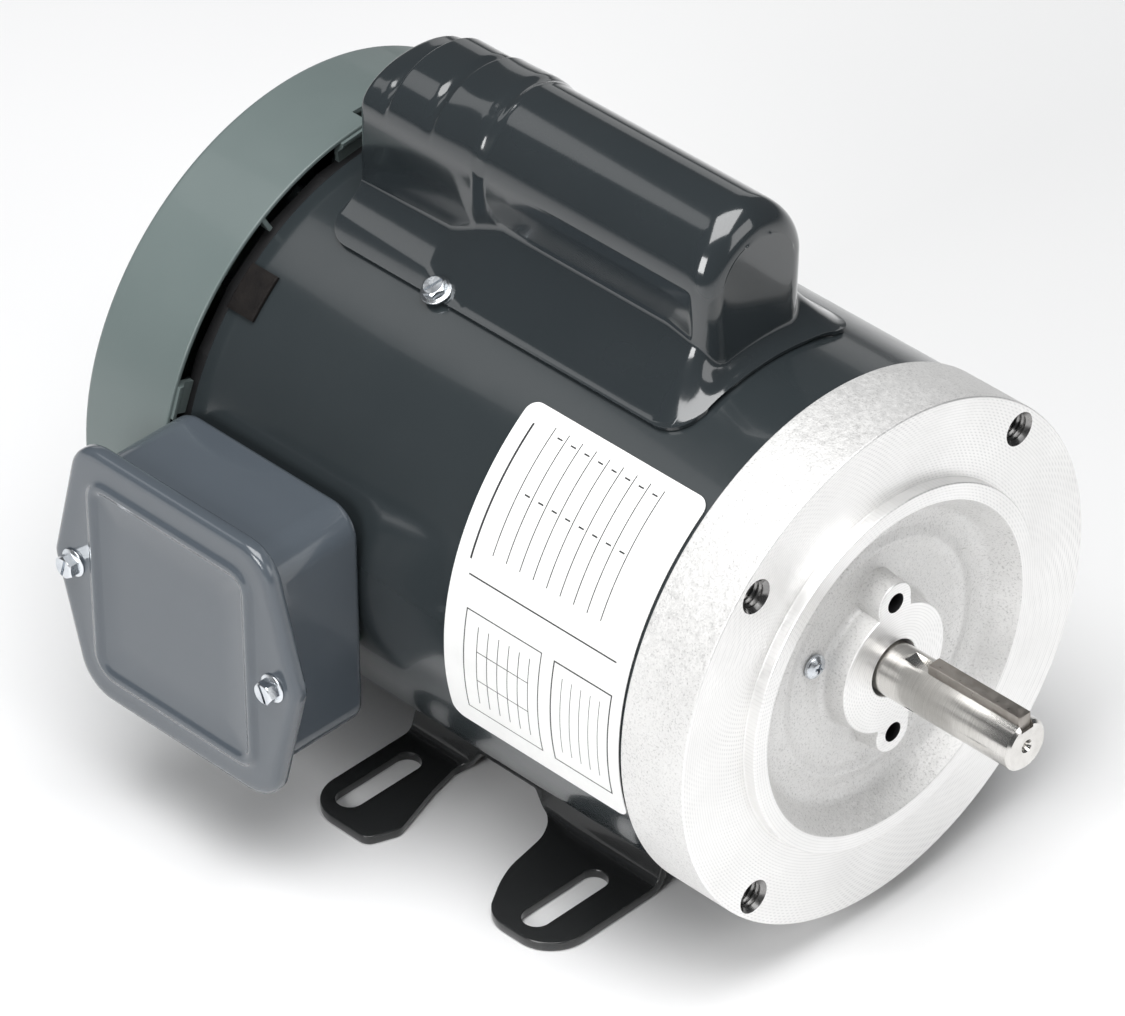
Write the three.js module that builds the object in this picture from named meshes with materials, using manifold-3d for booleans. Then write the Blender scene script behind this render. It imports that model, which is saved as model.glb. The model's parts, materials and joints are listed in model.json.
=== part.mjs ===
// Fan-cooled, capacitor-start single-phase motor in a NEMA 56C frame, foot and face mounted.
//
// Millimetres. Every piece is built with x = 0 on the machined mounting face, +x towards the
// shaft end, +z up and y = 0 on the shaft axis. The whole motor is then moved forwards so that
// the origin is the middle of the fan cover's flat rear face, on the shaft axis.

import * as THREE from 'three';
import { mergeVertices } from 'three/addons/utils/BufferGeometryUtils.js';
import Module from 'manifold-3d';

const wasm = await Module();
wasm.setup();

// ---------------------------------------------------------------- driving dimensions

const GAP = 0.3;                       // clearance between pieces that rest on each other

const SHAFT_HEIGHT = 88.9;             // NEMA D, foot plane to shaft axis
const SHAFT_END = 52.4;                // NEMA AH, mounting face to shaft end
const SHAFT_R = 15.875 / 2;            // NEMA U
const KEY = 4.76;                      // square key
const BOLT_CIRCLE_R = 149.2 / 2;       // NEMA AJ, four tapped face holes
const PILOT_R = 114.3 / 2;             // NEMA AK
const PILOT_RISE = 4;                  // NEMA BB
const SLOT_HALF_SPAN = 123.8 / 2;      // NEMA E, slot centre from the shaft axis
const SLOT_PITCH = 76.2;               // NEMA 2F, front to rear slots
const SLOT_W = 8.73;                   // NEMA H
const SLOT_L = 31.5;
const FRONT_SLOT_X = -65.05;

const BELL_R = 81.3;                   // drive end bell flange
const BELL_W = 23.6;
const BODY_R = 80;                     // rolled steel shell
const BODY_T = 1.6;
const BODY_FRONT = -23.9;
const BODY_REAR = -199.6;

const FAN_COVER_R = 88;
const FAN_COVER_FRONT = -200.6;
const FAN_COVER_REAR = -233.6;
const SHEET = 1.5;

const CORE_FRONT = -62;
const CORE_REAR = -134;
const CORE_R = BODY_R - BODY_T - GAP;
const BORE_R = 42;
const ROTOR_R = 41.4;
const SLOTS = 24;
const THROUGH_BOLT_R = 73;
const THROUGH_BOLT_ANGLES = [20, 110, 200, 290];
const TAB_ANGLES = [96, 160, 245, 335];
const TAB_SCREW_R = 74.5;

const BEARING_R = 20;                  // 6203 size: 17 x 40 x 12
const BEARING_BORE_R = 8.5;
const BEARING_W = 12;
const FRONT_BEARING_X = -14;
const REAR_BEARING_X = -192;

const PIVOT_X = -156;                  // governor weight pivots
const PIVOT_Z = 21;
const SWITCH_PIVOT_Z = 45;
const SWITCH_X = -176.1;

const CAP_COVER_HALF_W = 20.5;
const CAP_COVER_ARCH_Z = 108.5;
const CAP_COVER_SCREW_X = -141;
const CAP_COVER_SCREW_ANGLE = 25;      // from straight up, on both sides
const CAPACITOR_R = 18.2;
const CAPACITOR_Z = 99.6;

const BOX_X = -163.1;                  // conduit box centre
const BOX_Z = -8.6;
const BOX_HALF_W = 37.1;
const BOX_HALF_H = 38.6;
const BOX_BACK = -80.3;
const BOX_RIM = -116;
const COVER_FACE = -119;
const COVER_SCREW_OFFSET = 41.1;

// ---------------------------------------------------------------- solids

const WELD = 1e-4;

function solid(geometry) {
  const bare = geometry.clone();
  bare.deleteAttribute('normal');
  bare.deleteAttribute('uv');
  const welded = mergeVertices(bare, WELD);
  const points = welded.attributes.position;
  const corners = [];
  const [a, b, c] = [new THREE.Vector3(), new THREE.Vector3(), new THREE.Vector3()];
  let volume = 0;
  for (let i = 0; i < welded.index.count; i += 3) {
    const [p, q, r] = [0, 1, 2].map((k) => welded.index.getX(i + k));
    if (p === q || q === r || r === p) continue;
    corners.push(p, q, r);
    a.fromBufferAttribute(points, p);
    b.fromBufferAttribute(points, q);
    c.fromBufferAttribute(points, r);
    volume += a.dot(b.cross(c));
  }
  if (volume < 0) corners.reverse();
  return new wasm.Manifold(new wasm.Mesh({
    numProp: 3,
    vertProperties: Float32Array.from(points.array),
    triVerts: Uint32Array.from(corners),
  }));
}

const join = (first, ...others) => others.reduce((all, next) => all.add(next), first);
const cut = (first, ...others) => others.reduce((all, next) => all.subtract(next), first);

const polar = (radius, degrees) => {
  const angle = THREE.MathUtils.degToRad(degrees);
  return [radius * Math.cos(angle), radius * Math.sin(angle)];
};

// A closed [x, radius] outline turned about the shaft axis.
function turned(outline, segments = 24) {
  const points = [...outline, outline[0]].map(([x, r]) => new THREE.Vector2(r, x));
  return solid(new THREE.LatheGeometry(points, segments).rotateZ(-Math.PI / 2));
}

// A tube about the shaft axis between two x positions.
const ring = (from, to, inner, outer, segments = 24) =>
  turned([[from, inner], [to, inner], [to, outer], [from, outer]], segments);

// A cylinder between two points.
function rod(from, to, radius, segments = 12, endRadius = radius) {
  const start = new THREE.Vector3(...from);
  const axis = new THREE.Vector3(...to).sub(start);
  const geometry = new THREE.CylinderGeometry(endRadius, radius, axis.length(), segments);
  geometry.translate(0, axis.length() / 2, 0);
  const turn = new THREE.Quaternion().setFromUnitVectors(new THREE.Vector3(0, 1, 0), axis.normalize());
  geometry.applyQuaternion(turn).translate(...from);
  return solid(geometry);
}

function block(low, high) {
  const size = high.map((value, i) => value - low[i]);
  const middle = high.map((value, i) => (value + low[i]) / 2);
  return solid(new THREE.BoxGeometry(...size).translate(...middle));
}

const AXES = {
  x: [[0, 1, 0], [0, 0, 1], [1, 0, 0]],   // drawn in y, z and grown along +x
  y: [[1, 0, 0], [0, 0, 1], [0, -1, 0]],  // drawn in x, z and grown along -y
  z: [[1, 0, 0], [0, 1, 0], [0, 0, 1]],   // drawn in x, y and grown along +z
};

// A flat outline grown from one position on its axis to another.
function slab(shape, axis, from, to, curveSegments = 6) {
  const [right, up, out] = AXES[axis].map((values) => new THREE.Vector3(...values));
  const geometry = new THREE.ExtrudeGeometry(shape, {
    depth: Math.abs(to - from), bevelEnabled: false, curveSegments,
  });
  geometry.applyMatrix4(new THREE.Matrix4().makeBasis(right, up, out));
  const start = new THREE.Vector3()[`set${axis.toUpperCase()}`](from);
  return solid(geometry.translate(start.x, start.y, start.z));
}

// A polygon whose corners are rounded; each corner is [u, v, radius].
function outline(corners) {
  const shape = new THREE.Shape();
  corners.forEach(([u, v, radius = 0], i) => {
    const here = new THREE.Vector2(u, v);
    const before = new THREE.Vector2(...corners.at(i - 1)).sub(here).setLength(radius).add(here);
    const after = new THREE.Vector2(...corners[(i + 1) % corners.length]).sub(here).setLength(radius).add(here);
    if (i === 0) shape.moveTo(before.x, before.y);
    else shape.lineTo(before.x, before.y);
    if (radius > 0) shape.quadraticCurveTo(u, v, after.x, after.y);
  });
  shape.closePath();
  return shape;
}

const rectangle = (u0, v0, u1, v1, radius = 0) =>
  outline([[u0, v0, radius], [u1, v0, radius], [u1, v1, radius], [u0, v1, radius]]);

// A full circle as a closed path, for outlines and for the holes in them.
function circle(u, v, radius, segments) {
  const points = Array.from({ length: segments }, (_, i) => {
    const [du, dv] = polar(radius, (i * 360) / segments);
    return new THREE.Vector2(u + du, v + dv);
  });
  return new THREE.Shape(points);
}

// An arc-shaped strip about the shaft axis, drawn in y, z between two angles from +y.
function arcStrip(inner, outer, fromDegrees, toDegrees) {
  const [a, b] = [fromDegrees, toDegrees].map(THREE.MathUtils.degToRad);
  const shape = new THREE.Shape();
  shape.absarc(0, 0, outer, a, b, false);
  shape.absarc(0, 0, inner, b, a, true);
  shape.closePath();
  return shape;
}

// A skin over rings that all have the same number of points, closed by a fan at each end.
function loft(rings) {
  const count = rings[0].length;
  const points = rings.flat();
  const faces = [];
  for (let i = 0; i + 1 < rings.length; i += 1) {
    for (let j = 0; j < count; j += 1) {
      const [a, b] = [i * count + j, i * count + ((j + 1) % count)];
      faces.push(a, b, b + count, a, b + count, a + count);
    }
  }
  for (const [start, flip] of [[0, true], [(rings.length - 1) * count, false]]) {
    for (let j = 1; j + 1 < count; j += 1) {
      const [b, c] = flip ? [j + 1, j] : [j, j + 1];
      faces.push(start, start + b, start + c);
    }
  }
  const geometry = new THREE.BufferGeometry().setFromPoints(points.map((p) => new THREE.Vector3(...p)));
  geometry.setIndex(faces);
  return solid(geometry);
}

// A round wire along a smooth path through the given points.
function wire(points, radius, steps) {
  const path = new THREE.CatmullRomCurve3(points.map((p) => new THREE.Vector3(...p)));
  return solid(new THREE.ExtrudeGeometry(circle(0, 0, radius, 8), { extrudePath: path, steps }));
}

// ---------------------------------------------------------------- fasteners

// Slotted hex-washer screw. `at` is the seat of the head and `out` points away from the shank.
function hexWasherScrew(at, out, shankR, length, acrossFlats, headH) {
  const axis = new THREE.Vector3(...out).normalize();
  const along = (d) => new THREE.Vector3(...at).addScaledVector(axis, d).toArray();
  const head = rod(along(0.2), along(headH), acrossFlats / Math.sqrt(3), 6);
  const washer = rod(along(0), along(headH * 0.25), acrossFlats * 0.72, 12);
  const shank = rod(along(-length), along(0.1), shankR, 8);
  const side = new THREE.Vector3(axis.z, axis.x, axis.y).cross(axis).normalize();
  const slot = rod(
    new THREE.Vector3(...along(headH)).addScaledVector(side, -acrossFlats).toArray(),
    new THREE.Vector3(...along(headH)).addScaledVector(side, acrossFlats).toArray(),
    acrossFlats * 0.11, 4,
  );
  return cut(join(washer, head, shank), slot);
}

function panHeadScrew(at, out, shankR, length, headR, headH) {
  const axis = new THREE.Vector3(...out).normalize();
  const along = (d) => new THREE.Vector3(...at).addScaledVector(axis, d).toArray();
  const head = rod(along(0), along(headH * 0.55), headR, 12);
  const dome = rod(along(headH * 0.5), along(headH), headR * 0.98, 12, headR * 0.6);
  const shank = rod(along(-length), along(0.1), shankR, 8);
  const recess = rod(along(headH * 0.45), along(headH + 1), headR * 0.22, 4);
  return cut(join(head, dome, shank), recess);
}

// ---------------------------------------------------------------- frame

function shell() {
  const tube = ring(BODY_REAR, BODY_FRONT, BODY_R - BODY_T, BODY_R, 48);
  const holes = [
    rod([BOX_X, -90, 0], [BOX_X, -60, 0], 9, 16),
    rod([-172, 0, 60], [-172, 0, 90], 6.5, 12),
  ];
  for (const side of [-1, 1]) {
    const [y, z] = polar(90, 90 + side * CAP_COVER_SCREW_ANGLE);
    holes.push(rod([CAP_COVER_SCREW_X, 0, 0], [CAP_COVER_SCREW_X, y, z], 2.4, 6));
  }
  for (const x of BOX_MOUNT_X) holes.push(rod([x, -90, 0], [x, -60, 0], 2.6, 8));
  return cut(tube, ...holes);
}
const BOX_MOUNT_X = [-187, -138];

function driveEndBell() {
  const hubFace = 3;
  const floor = -5;
  const body = turned([
    [hubFace, 8.8], [hubFace, 20.3], [floor, 22], [floor, 45], [-1.5, 49], [PILOT_RISE, 51.9],
    [PILOT_RISE, PILOT_R], [0, PILOT_R], [0, BELL_R - 0.6], [-0.6, BELL_R], [-BELL_W, BELL_R], [-BELL_W, CORE_R], [-29.6, CORE_R],
    [-29.6, 70], [-10.5, 62], [-10.5, 30], [-24, 27], [-24, BEARING_R + 0.1],
    [-7.6, BEARING_R + 0.1], [-7.6, 8.8],
  ], 40);
  const bosses = [];
  const holes = [];
  for (const side of [-1, 1]) {
    bosses.push(rod([floor - 2, 0, side * 22.75], [hubFace, 0, side * 22.75], 6.9, 14, 6.5));
    bosses.push(block([floor - 1, -6.2, Math.min(side * 12, side * 20)],
      [hubFace - 0.01, 6.2, Math.max(side * 12, side * 20)]));
    holes.push(rod([-4, 0, side * 22.75], [hubFace + 1, 0, side * 22.75], 3.1, 10));
  }
  for (const degrees of [45, 135, 225, 315]) {
    const [y, z] = polar(BOLT_CIRCLE_R, degrees);
    holes.push(rod([-19, y, z], [1, y, z], 4.4, 14));
  }
  for (const degrees of THROUGH_BOLT_ANGLES) {
    const [y, z] = polar(THROUGH_BOLT_R, degrees);
    holes.push(rod([-31, y, z], [-14, y, z], 2.8, 8));
  }
  holes.push(rod([-9, FACE_SCREW[0], FACE_SCREW[1]], [0, FACE_SCREW[0], FACE_SCREW[1]], 1.9, 8));
  return cut(join(body, ...bosses), rod([-8, 0, 0], [4, 0, 0], 8.8, 40), ...holes);
}
const FACE_SCREW = [-24.6, 10.4];

function rearEndBell() {
  const face = -203.9;
  const body = turned([
    [face, 9.3], [face, 27], [-200, 36], [-200, 54], [face, 66], [face, 79.4],
    [-199.9, 79.4], [-199.9, CORE_R], [-193, CORE_R], [-193, 68], [-196, 60], [-196, 30],
    [-184, 26.5], [-184, BEARING_R + 0.05], [-200.3, BEARING_R + 0.05], [-200.3, 9.3],
  ]);
  const posts = SWITCH_SCREWS.map(([y, z]) => rod([-197, y, z], [-181.3, y, z], 4.5, 10));
  const holes = SWITCH_SCREWS.map(([y, z]) => rod([-192, y, z], [-180, y, z], 1.8, 8));
  for (const degrees of THROUGH_BOLT_ANGLES) {
    const [y, z] = polar(THROUGH_BOLT_R, degrees);
    holes.push(rod([-206, y, z], [-190, y, z], 2.9, 8));
  }
  for (const degrees of TAB_ANGLES) {
    const [y, z] = polar(TAB_SCREW_R, degrees);
    holes.push(rod([-206, y, z], [-194.5, y, z], 2.3, 8));
  }
  return cut(join(body, ...posts), ...holes);
}
const SWITCH_SCREWS = [60, 120].map((degrees) => polar(52, degrees));

function throughBolt(degrees) {
  const [y, z] = polar(THROUGH_BOLT_R, degrees);
  const shank = rod([-204.3, y, z], [-15, y, z], 2.4, 6);
  return join(shank, rod([-207.8, y, z], [-204.2, y, z], 4.6, 6));
}

// ---------------------------------------------------------------- base

const FOOT_T = 3;
const SADDLE_R = BODY_R + GAP + 0.1;
const LIP_X = -84.5;
const BASE_FRONT = -50;
const BASE_REAR = -151;

// Foot, bend and saddle across the motor, drawn in y, z.
function baseSection() {
  const bottom = -SHAFT_HEIGHT;
  const top = bottom + FOOT_T;
  const edge = Math.asin(31 / SADDLE_R);
  const down = -Math.PI / 2;
  const upper = [[84, top], [42.6, top], [39.8, -83.7], [37.2, -77.6], [33.4, -74.9]];
  const lower = [[34.8, -79.4], [37.2, -85.3], [41.4, bottom], [84, bottom]];
  const mirrored = (points) => points.map(([y, z]) => [-y, z]).reverse();
  const shape = new THREE.Shape();
  shape.moveTo(...upper[0]);
  upper.slice(1).forEach((point) => shape.lineTo(...point));
  shape.absarc(0, 0, SADDLE_R, down + edge, down - edge, true);
  [...mirrored(upper), ...mirrored(lower)].forEach((point) => shape.lineTo(...point));
  shape.absarc(0, 0, SADDLE_R + FOOT_T, down - edge, down + edge, false);
  lower.forEach((point) => shape.lineTo(...point));
  shape.closePath();
  return shape;
}

// Feet seen from above, on one side: the front ones spread towards the saddle, the rear ones narrow.
const FRONT_FOOT = [
  [BASE_FRONT, 28], [BASE_FRONT, 83, 15], [-76, 83, 4], [-84.5, 67, 4], [-93.5, 44, 8], [-94, 28],
];
const REAR_FOOT = [
  [BASE_REAR, 28], [BASE_REAR, 83, 12], [-124.6, 83, 4], [-120.6, 73, 4], [-130.6, 53.5], [-135, 42, 5],
  [-135, 28],
];

function base() {
  const section = slab(baseSection(), 'x', BASE_REAR, BASE_FRONT, 7);
  const low = -SHAFT_HEIGHT;
  const lift = 5.4;
  const flat = block([LIP_X, -84, -95], [BASE_FRONT, 84, -60]);
  const lipSection = outline([
    [LIP_X + 0.5, low], [LIP_X + 0.5, low + FOOT_T], [LIP_X - 10, low + FOOT_T + lift], [LIP_X - 10, low + lift],
  ]);
  const feet = [];
  const slots = [];
  for (const side of [-1, 1]) {
    const plan = (corners) => slab(outline(corners.map(([u, v, radius]) => [u, side * v, radius])), 'z', -95, -60, 4);
    const lip = slab(lipSection, 'y', side > 0 ? 75 : -36, side > 0 ? 36 : -75);
    const front = plan(FRONT_FOOT);
    feet.push(section.intersect(front).intersect(flat), lip.intersect(front), section.intersect(plan(REAR_FOOT)));
    const near = side * (SLOT_HALF_SPAN - SLOT_L / 2 + SLOT_W / 2);
    const far = side * (SLOT_HALF_SPAN + SLOT_L / 2 - SLOT_W / 2);
    for (const x of [FRONT_SLOT_X, FRONT_SLOT_X - SLOT_PITCH]) {
      slots.push(
        rod([x, near, -95], [x, near, -80], SLOT_W / 2, 12),
        rod([x, far, -95], [x, far, -80], SLOT_W / 2, 12),
        block([x - SLOT_W / 2, Math.min(near, far), -95], [x + SLOT_W / 2, Math.max(near, far), -80]),
      );
    }
  }
  const saddle = section.intersect(block([BASE_REAR, -38, -95], [BASE_FRONT, 38, -60]));
  return cut(join(saddle, ...feet), ...slots);
}

// ---------------------------------------------------------------- stator

function slotPoint(angle, u, v) {
  return [u * Math.cos(angle) - v * Math.sin(angle), u * Math.sin(angle) + v * Math.cos(angle)];
}

function statorCore() {
  const shape = circle(0, 0, CORE_R, 48);
  const bore = new THREE.Path();
  const pitch = (2 * Math.PI) / SLOTS;
  const mouth = Math.sqrt(BORE_R ** 2 - 1.3 ** 2);
  const slot = [[mouth, -1.3], [44, -1.3], [44, -3], [64, -3], [64, 3], [44, 3], [44, 1.3], [mouth, 1.3]];
  const points = [];
  for (let i = 0; i < SLOTS; i += 1) {
    for (const [u, v] of slot) points.push(slotPoint(i * pitch, u, v));
  }
  points.forEach(([u, v], i) => (i === 0 ? bore.moveTo(u, v) : bore.lineTo(u, v)));
  bore.closePath();
  shape.holes.push(bore);
  for (const degrees of THROUGH_BOLT_ANGLES) {
    shape.holes.push(circle(...polar(THROUGH_BOLT_R, degrees), 3, 8));
  }
  return slab(shape, 'x', CORE_REAR, CORE_FRONT);
}

// Two bundles of end turns joined by the coil sides that lie in the slots.
function winding(inner, outer, reach, barInner, barOuter, bars) {
  const bundle = (from, to) => turned([
    [from, inner + 1.5], [from, outer - 2.5], [from + Math.sign(to - from) * 4, outer],
    [to, outer], [to, inner],
  ], SLOTS);
  const sides = Array.from({ length: bars }, (_, i) => {
    const angle = (i * 2 * Math.PI) / bars;
    const corners = [[barInner, -2.5], [barOuter, -2.5], [barOuter, 2.5], [barInner, 2.5]];
    const section = outline(corners.map(([u, v]) => slotPoint(angle, u, v)));
    return slab(section, 'x', CORE_REAR - 4, CORE_FRONT + 4);
  });
  return join(
    bundle(CORE_FRONT + reach, CORE_FRONT + 2),
    bundle(CORE_REAR - reach, CORE_REAR - 2),
    ...sides,
  );
}

// ---------------------------------------------------------------- rotor

function shaft() {
  const body = turned([
    [-226, 0], [-226, 7.5], [-203.4, 7.5], [-203.4, BEARING_BORE_R - 0.03],
    [-185.7, BEARING_BORE_R - 0.03], [-185.7, 9.5], [-20.4, 9.5], [-20.4, BEARING_BORE_R - 0.03],
    [-6.5, BEARING_BORE_R - 0.03], [-6.5, SHAFT_R], [SHAFT_END - 0.8, SHAFT_R],
    [SHAFT_END, SHAFT_R - 0.8], [SHAFT_END, 0],
  ]);
  const floor = SHAFT_R - KEY / 2;
  const keyway = block([18, -KEY / 2, floor], [SHAFT_END + 1, KEY / 2, 12]);
  const runOut = rod([18, -KEY / 2, floor + 22], [18, KEY / 2, floor + 22], 22, 40);
  const flat = block([-221, -9, 6.9], [-208.2, 9, 9]);
  const centre = rod([SHAFT_END - 6, 0, 0], [SHAFT_END + 1, 0, 0], 1.6, 8);
  return cut(body, keyway, runOut, flat, centre);
}

function shaftKey() {
  const floor = SHAFT_R - KEY / 2 + 0.05;
  const half = KEY / 2 - 0.06;
  return block([17.5, -half, floor], [SHAFT_END - 1, half, floor + KEY]);
}

const ROTOR_BARS = 16;

function rotorLaminations() {
  const shape = circle(0, 0, ROTOR_R, 32);
  shape.holes.push(circle(0, 0, 9.56, 24));
  for (let i = 0; i < ROTOR_BARS; i += 1) {
    const [u, v] = polar(36.6, (i * 360) / ROTOR_BARS);
    shape.holes.push(circle(u, v, 2.9, 6));
  }
  return slab(shape, 'x', CORE_REAR, CORE_FRONT);
}

function rotorCage() {
  const bars = Array.from({ length: ROTOR_BARS }, (_, i) => {
    const [y, z] = polar(36.6, (i * 360) / ROTOR_BARS);
    return rod([CORE_REAR - 3, y, z], [CORE_FRONT + 3, y, z], 2.2, 4);
  });
  const rings = [[CORE_REAR - 10, CORE_REAR - 0.3], [CORE_FRONT + 0.3, CORE_FRONT + 10]]
    .map(([from, to]) => ring(from, to, 28, 40.4));
  return join(rings[0], rings[1], ...bars);
}

// ---------------------------------------------------------------- bearings

const BALL_PITCH_R = 14.25;
const BALLS = 7;

function outerRace(x) {
  const half = BEARING_W / 2;
  return turned([
    [x - half, BEARING_R], [x - half, 16.4], [x, 17.8], [x + half, 16.4], [x + half, BEARING_R],
  ]);
}

function innerRace(x) {
  const half = BEARING_W / 2;
  return turned([
    [x - half, BEARING_BORE_R], [x - half, 12.1], [x, 10.7], [x + half, 12.1],
    [x + half, BEARING_BORE_R],
  ]);
}

function ballsAndCage(x) {
  const balls = Array.from({ length: BALLS }, (_, i) => {
    const [y, z] = polar(BALL_PITCH_R, (i * 360) / BALLS);
    return solid(new THREE.SphereGeometry(2.9, 6, 4).translate(x, y, z));
  });
  return join(ring(x - 1.1, x + 1.1, 13, 15.5, 21), ...balls);
}

// A thin ring that waves along the axis, between the bearing and the floor of its pocket.
function waveSpring() {
  const steps = 24;
  const x = REAR_BEARING_X - BEARING_W / 2 - 1.15;
  const rings = Array.from({ length: steps }, (_, i) => {
    const degrees = (i * 360) / steps;
    const wave = 0.55 * Math.sin(THREE.MathUtils.degToRad(degrees * 3));
    return [[0.2, 16.2], [0.2, 19.4], [-0.2, 19.4], [-0.2, 16.2]].map(([dx, r]) => {
      const [y, z] = polar(r, degrees);
      return [x + wave + dx, y, z];
    });
  });
  const faces = [];
  for (let i = 0; i < steps; i += 1) {
    for (let j = 0; j < 4; j += 1) {
      const [a, b] = [i * 4 + j, i * 4 + ((j + 1) % 4)];
      const [c, d] = [a, b].map((k) => (k + 4) % (steps * 4));
      faces.push(a, b, d, a, d, c);
    }
  }
  const points = rings.flat().map((p) => new THREE.Vector3(...p));
  const geometry = new THREE.BufferGeometry().setFromPoints(points);
  geometry.setIndex(faces);
  return solid(geometry);
}

// ---------------------------------------------------------------- starting governor and switch

function governorBase() {
  const body = turned([
    [-151, 9.56], [-151, 24], [-153, 24], [-153, 12.6], [-178, 12.6], [-178, 9.56],
  ]);
  const lugs = [-1, 1].flatMap((side) => {
    const [low, high] = side > 0 ? [15, 25] : [-25, -15];
    const ears = [-1, 1].map((hand) => block(
      [-159.5, hand > 0 ? 13 : -15, low], [-152, hand > 0 ? 15 : -13, high],
    ));
    return [...ears, rod([PIVOT_X, -14, side * PIVOT_Z], [PIVOT_X, 14, side * PIVOT_Z], 1.4, 10)];
  });
  return join(body, ...lugs);
}

function governorWeight(side) {
  const z = side * PIVOT_Z;
  const span = (low, high) => (side > 0 ? [low, high] : [-high, -low]);
  const [armLow, armHigh] = span(19, 27);
  const [barLow, barHigh] = span(20, 25);
  const barrel = rod([PIVOT_X, -12, z], [PIVOT_X, 12, z], 2.9, 14);
  const arm = block([-167, -11, armLow], [PIVOT_X, 11, armHigh]);
  const bar = block([-166, -21.5, barLow], [-160.5, 21.5, barHigh]);
  return cut(join(barrel, arm, bar), rod([PIVOT_X, -15, z], [PIVOT_X, 15, z], 1.49, 10));
}

function governorSpring(side) {
  const turns = 6;
  const half = 19.4;
  const points = Array.from({ length: turns * 6 + 1 }, (_, i) => {
    const angle = (i * 2 * Math.PI) / 6;
    return [-163 + 2.2 * Math.cos(angle), side * 18.4 + 2.2 * Math.sin(angle), -half + (i * 2 * half) / (turns * 6)];
  });
  const path = new THREE.CatmullRomCurve3(points.map((p) => new THREE.Vector3(...p)));
  return solid(new THREE.ExtrudeGeometry(circle(0, 0, 0.55, 4), { extrudePath: path, steps: turns * 6 }));
}

function governorSpool() {
  return turned([
    [-174.5, 12.65], [-174.5, 22], [-171.8, 22], [-171.8, 15], [-158.5, 15], [-158.5, 12.65],
  ]);
}

function switchBoard() {
  const plate = slab(arcStrip(31, 60, 48, 132), 'x', -181, -179.4, 8);
  const ears = [-1, 1].map((side) => block(
    [-180, side > 0 ? 9 : -11.5, SWITCH_PIVOT_Z - 4], [-173.6, side > 0 ? 11.5 : -9, SWITCH_PIVOT_Z + 4],
  ));
  const pin = rod([SWITCH_X, -10, SWITCH_PIVOT_Z], [SWITCH_X, 10, SWITCH_PIVOT_Z], 1.3, 10);
  const contact = rod([-180, 0, 35], [-177.1, 0, 35], 2.6, 12);
  const holes = SWITCH_SCREWS.map(([y, z]) => rod([-182, y, z], [-178, y, z], 2, 10));
  return cut(join(plate, ...ears, pin, contact), ...holes);
}

// Forked arm that straddles the shaft and is pushed by the spool's flange.
function switchArm() {
  const back = SWITCH_X - 0.8;
  const front = SWITCH_X + 0.8;
  const barrel = rod([SWITCH_X, -8.6, SWITCH_PIVOT_Z], [SWITCH_X, 8.6, SWITCH_PIVOT_Z], 2.8, 14);
  const neck = block([back, -7, 26], [front, 7, SWITCH_PIVOT_Z]);
  const yoke = block([back, -20, 20], [front, 20, 28]);
  const prongs = [-1, 1].map((side) => block([back, side > 0 ? 14.5 : -20, -6], [front, side > 0 ? 20 : -14.5, 22]));
  const tail = block([back, -3, SWITCH_PIVOT_Z], [front, 3, 50]);
  const bore = rod([SWITCH_X, -9, SWITCH_PIVOT_Z], [SWITCH_X, 9, SWITCH_PIVOT_Z], 1.385, 10);
  return cut(join(barrel, neck, yoke, ...prongs, tail), bore);
}

// ---------------------------------------------------------------- cooling

function fan() {
  const hub = turned([
    [-221.5, 7.56], [-221.5, 13], [-213, 14], [-211.5, 58], [-209.6, 60], [-209, 60], [-208.4, 16],
    [-208.4, 7.56],
  ]);
  const blades = Array.from({ length: 8 }, (_, i) => {
    const angle = (i * 2 * Math.PI) / 8;
    const corners = [[24, -1], [76, -1], [76, 1], [24, 1]];
    return slab(outline(corners.map(([u, v]) => slotPoint(angle, u, v))), 'x', -226.5, -210);
  });
  const tips = ring(-230, -205, 76, 90, 32);
  return cut(join(hub, ...blades), tips);
}

function fanClamp() {
  const band = ring(-220.8, -214.6, 14.5, 16.6, 24);
  return join(band, block([-219.7, -3.2, 15.6], [-215.7, 3.2, 20.4]));
}

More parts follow.
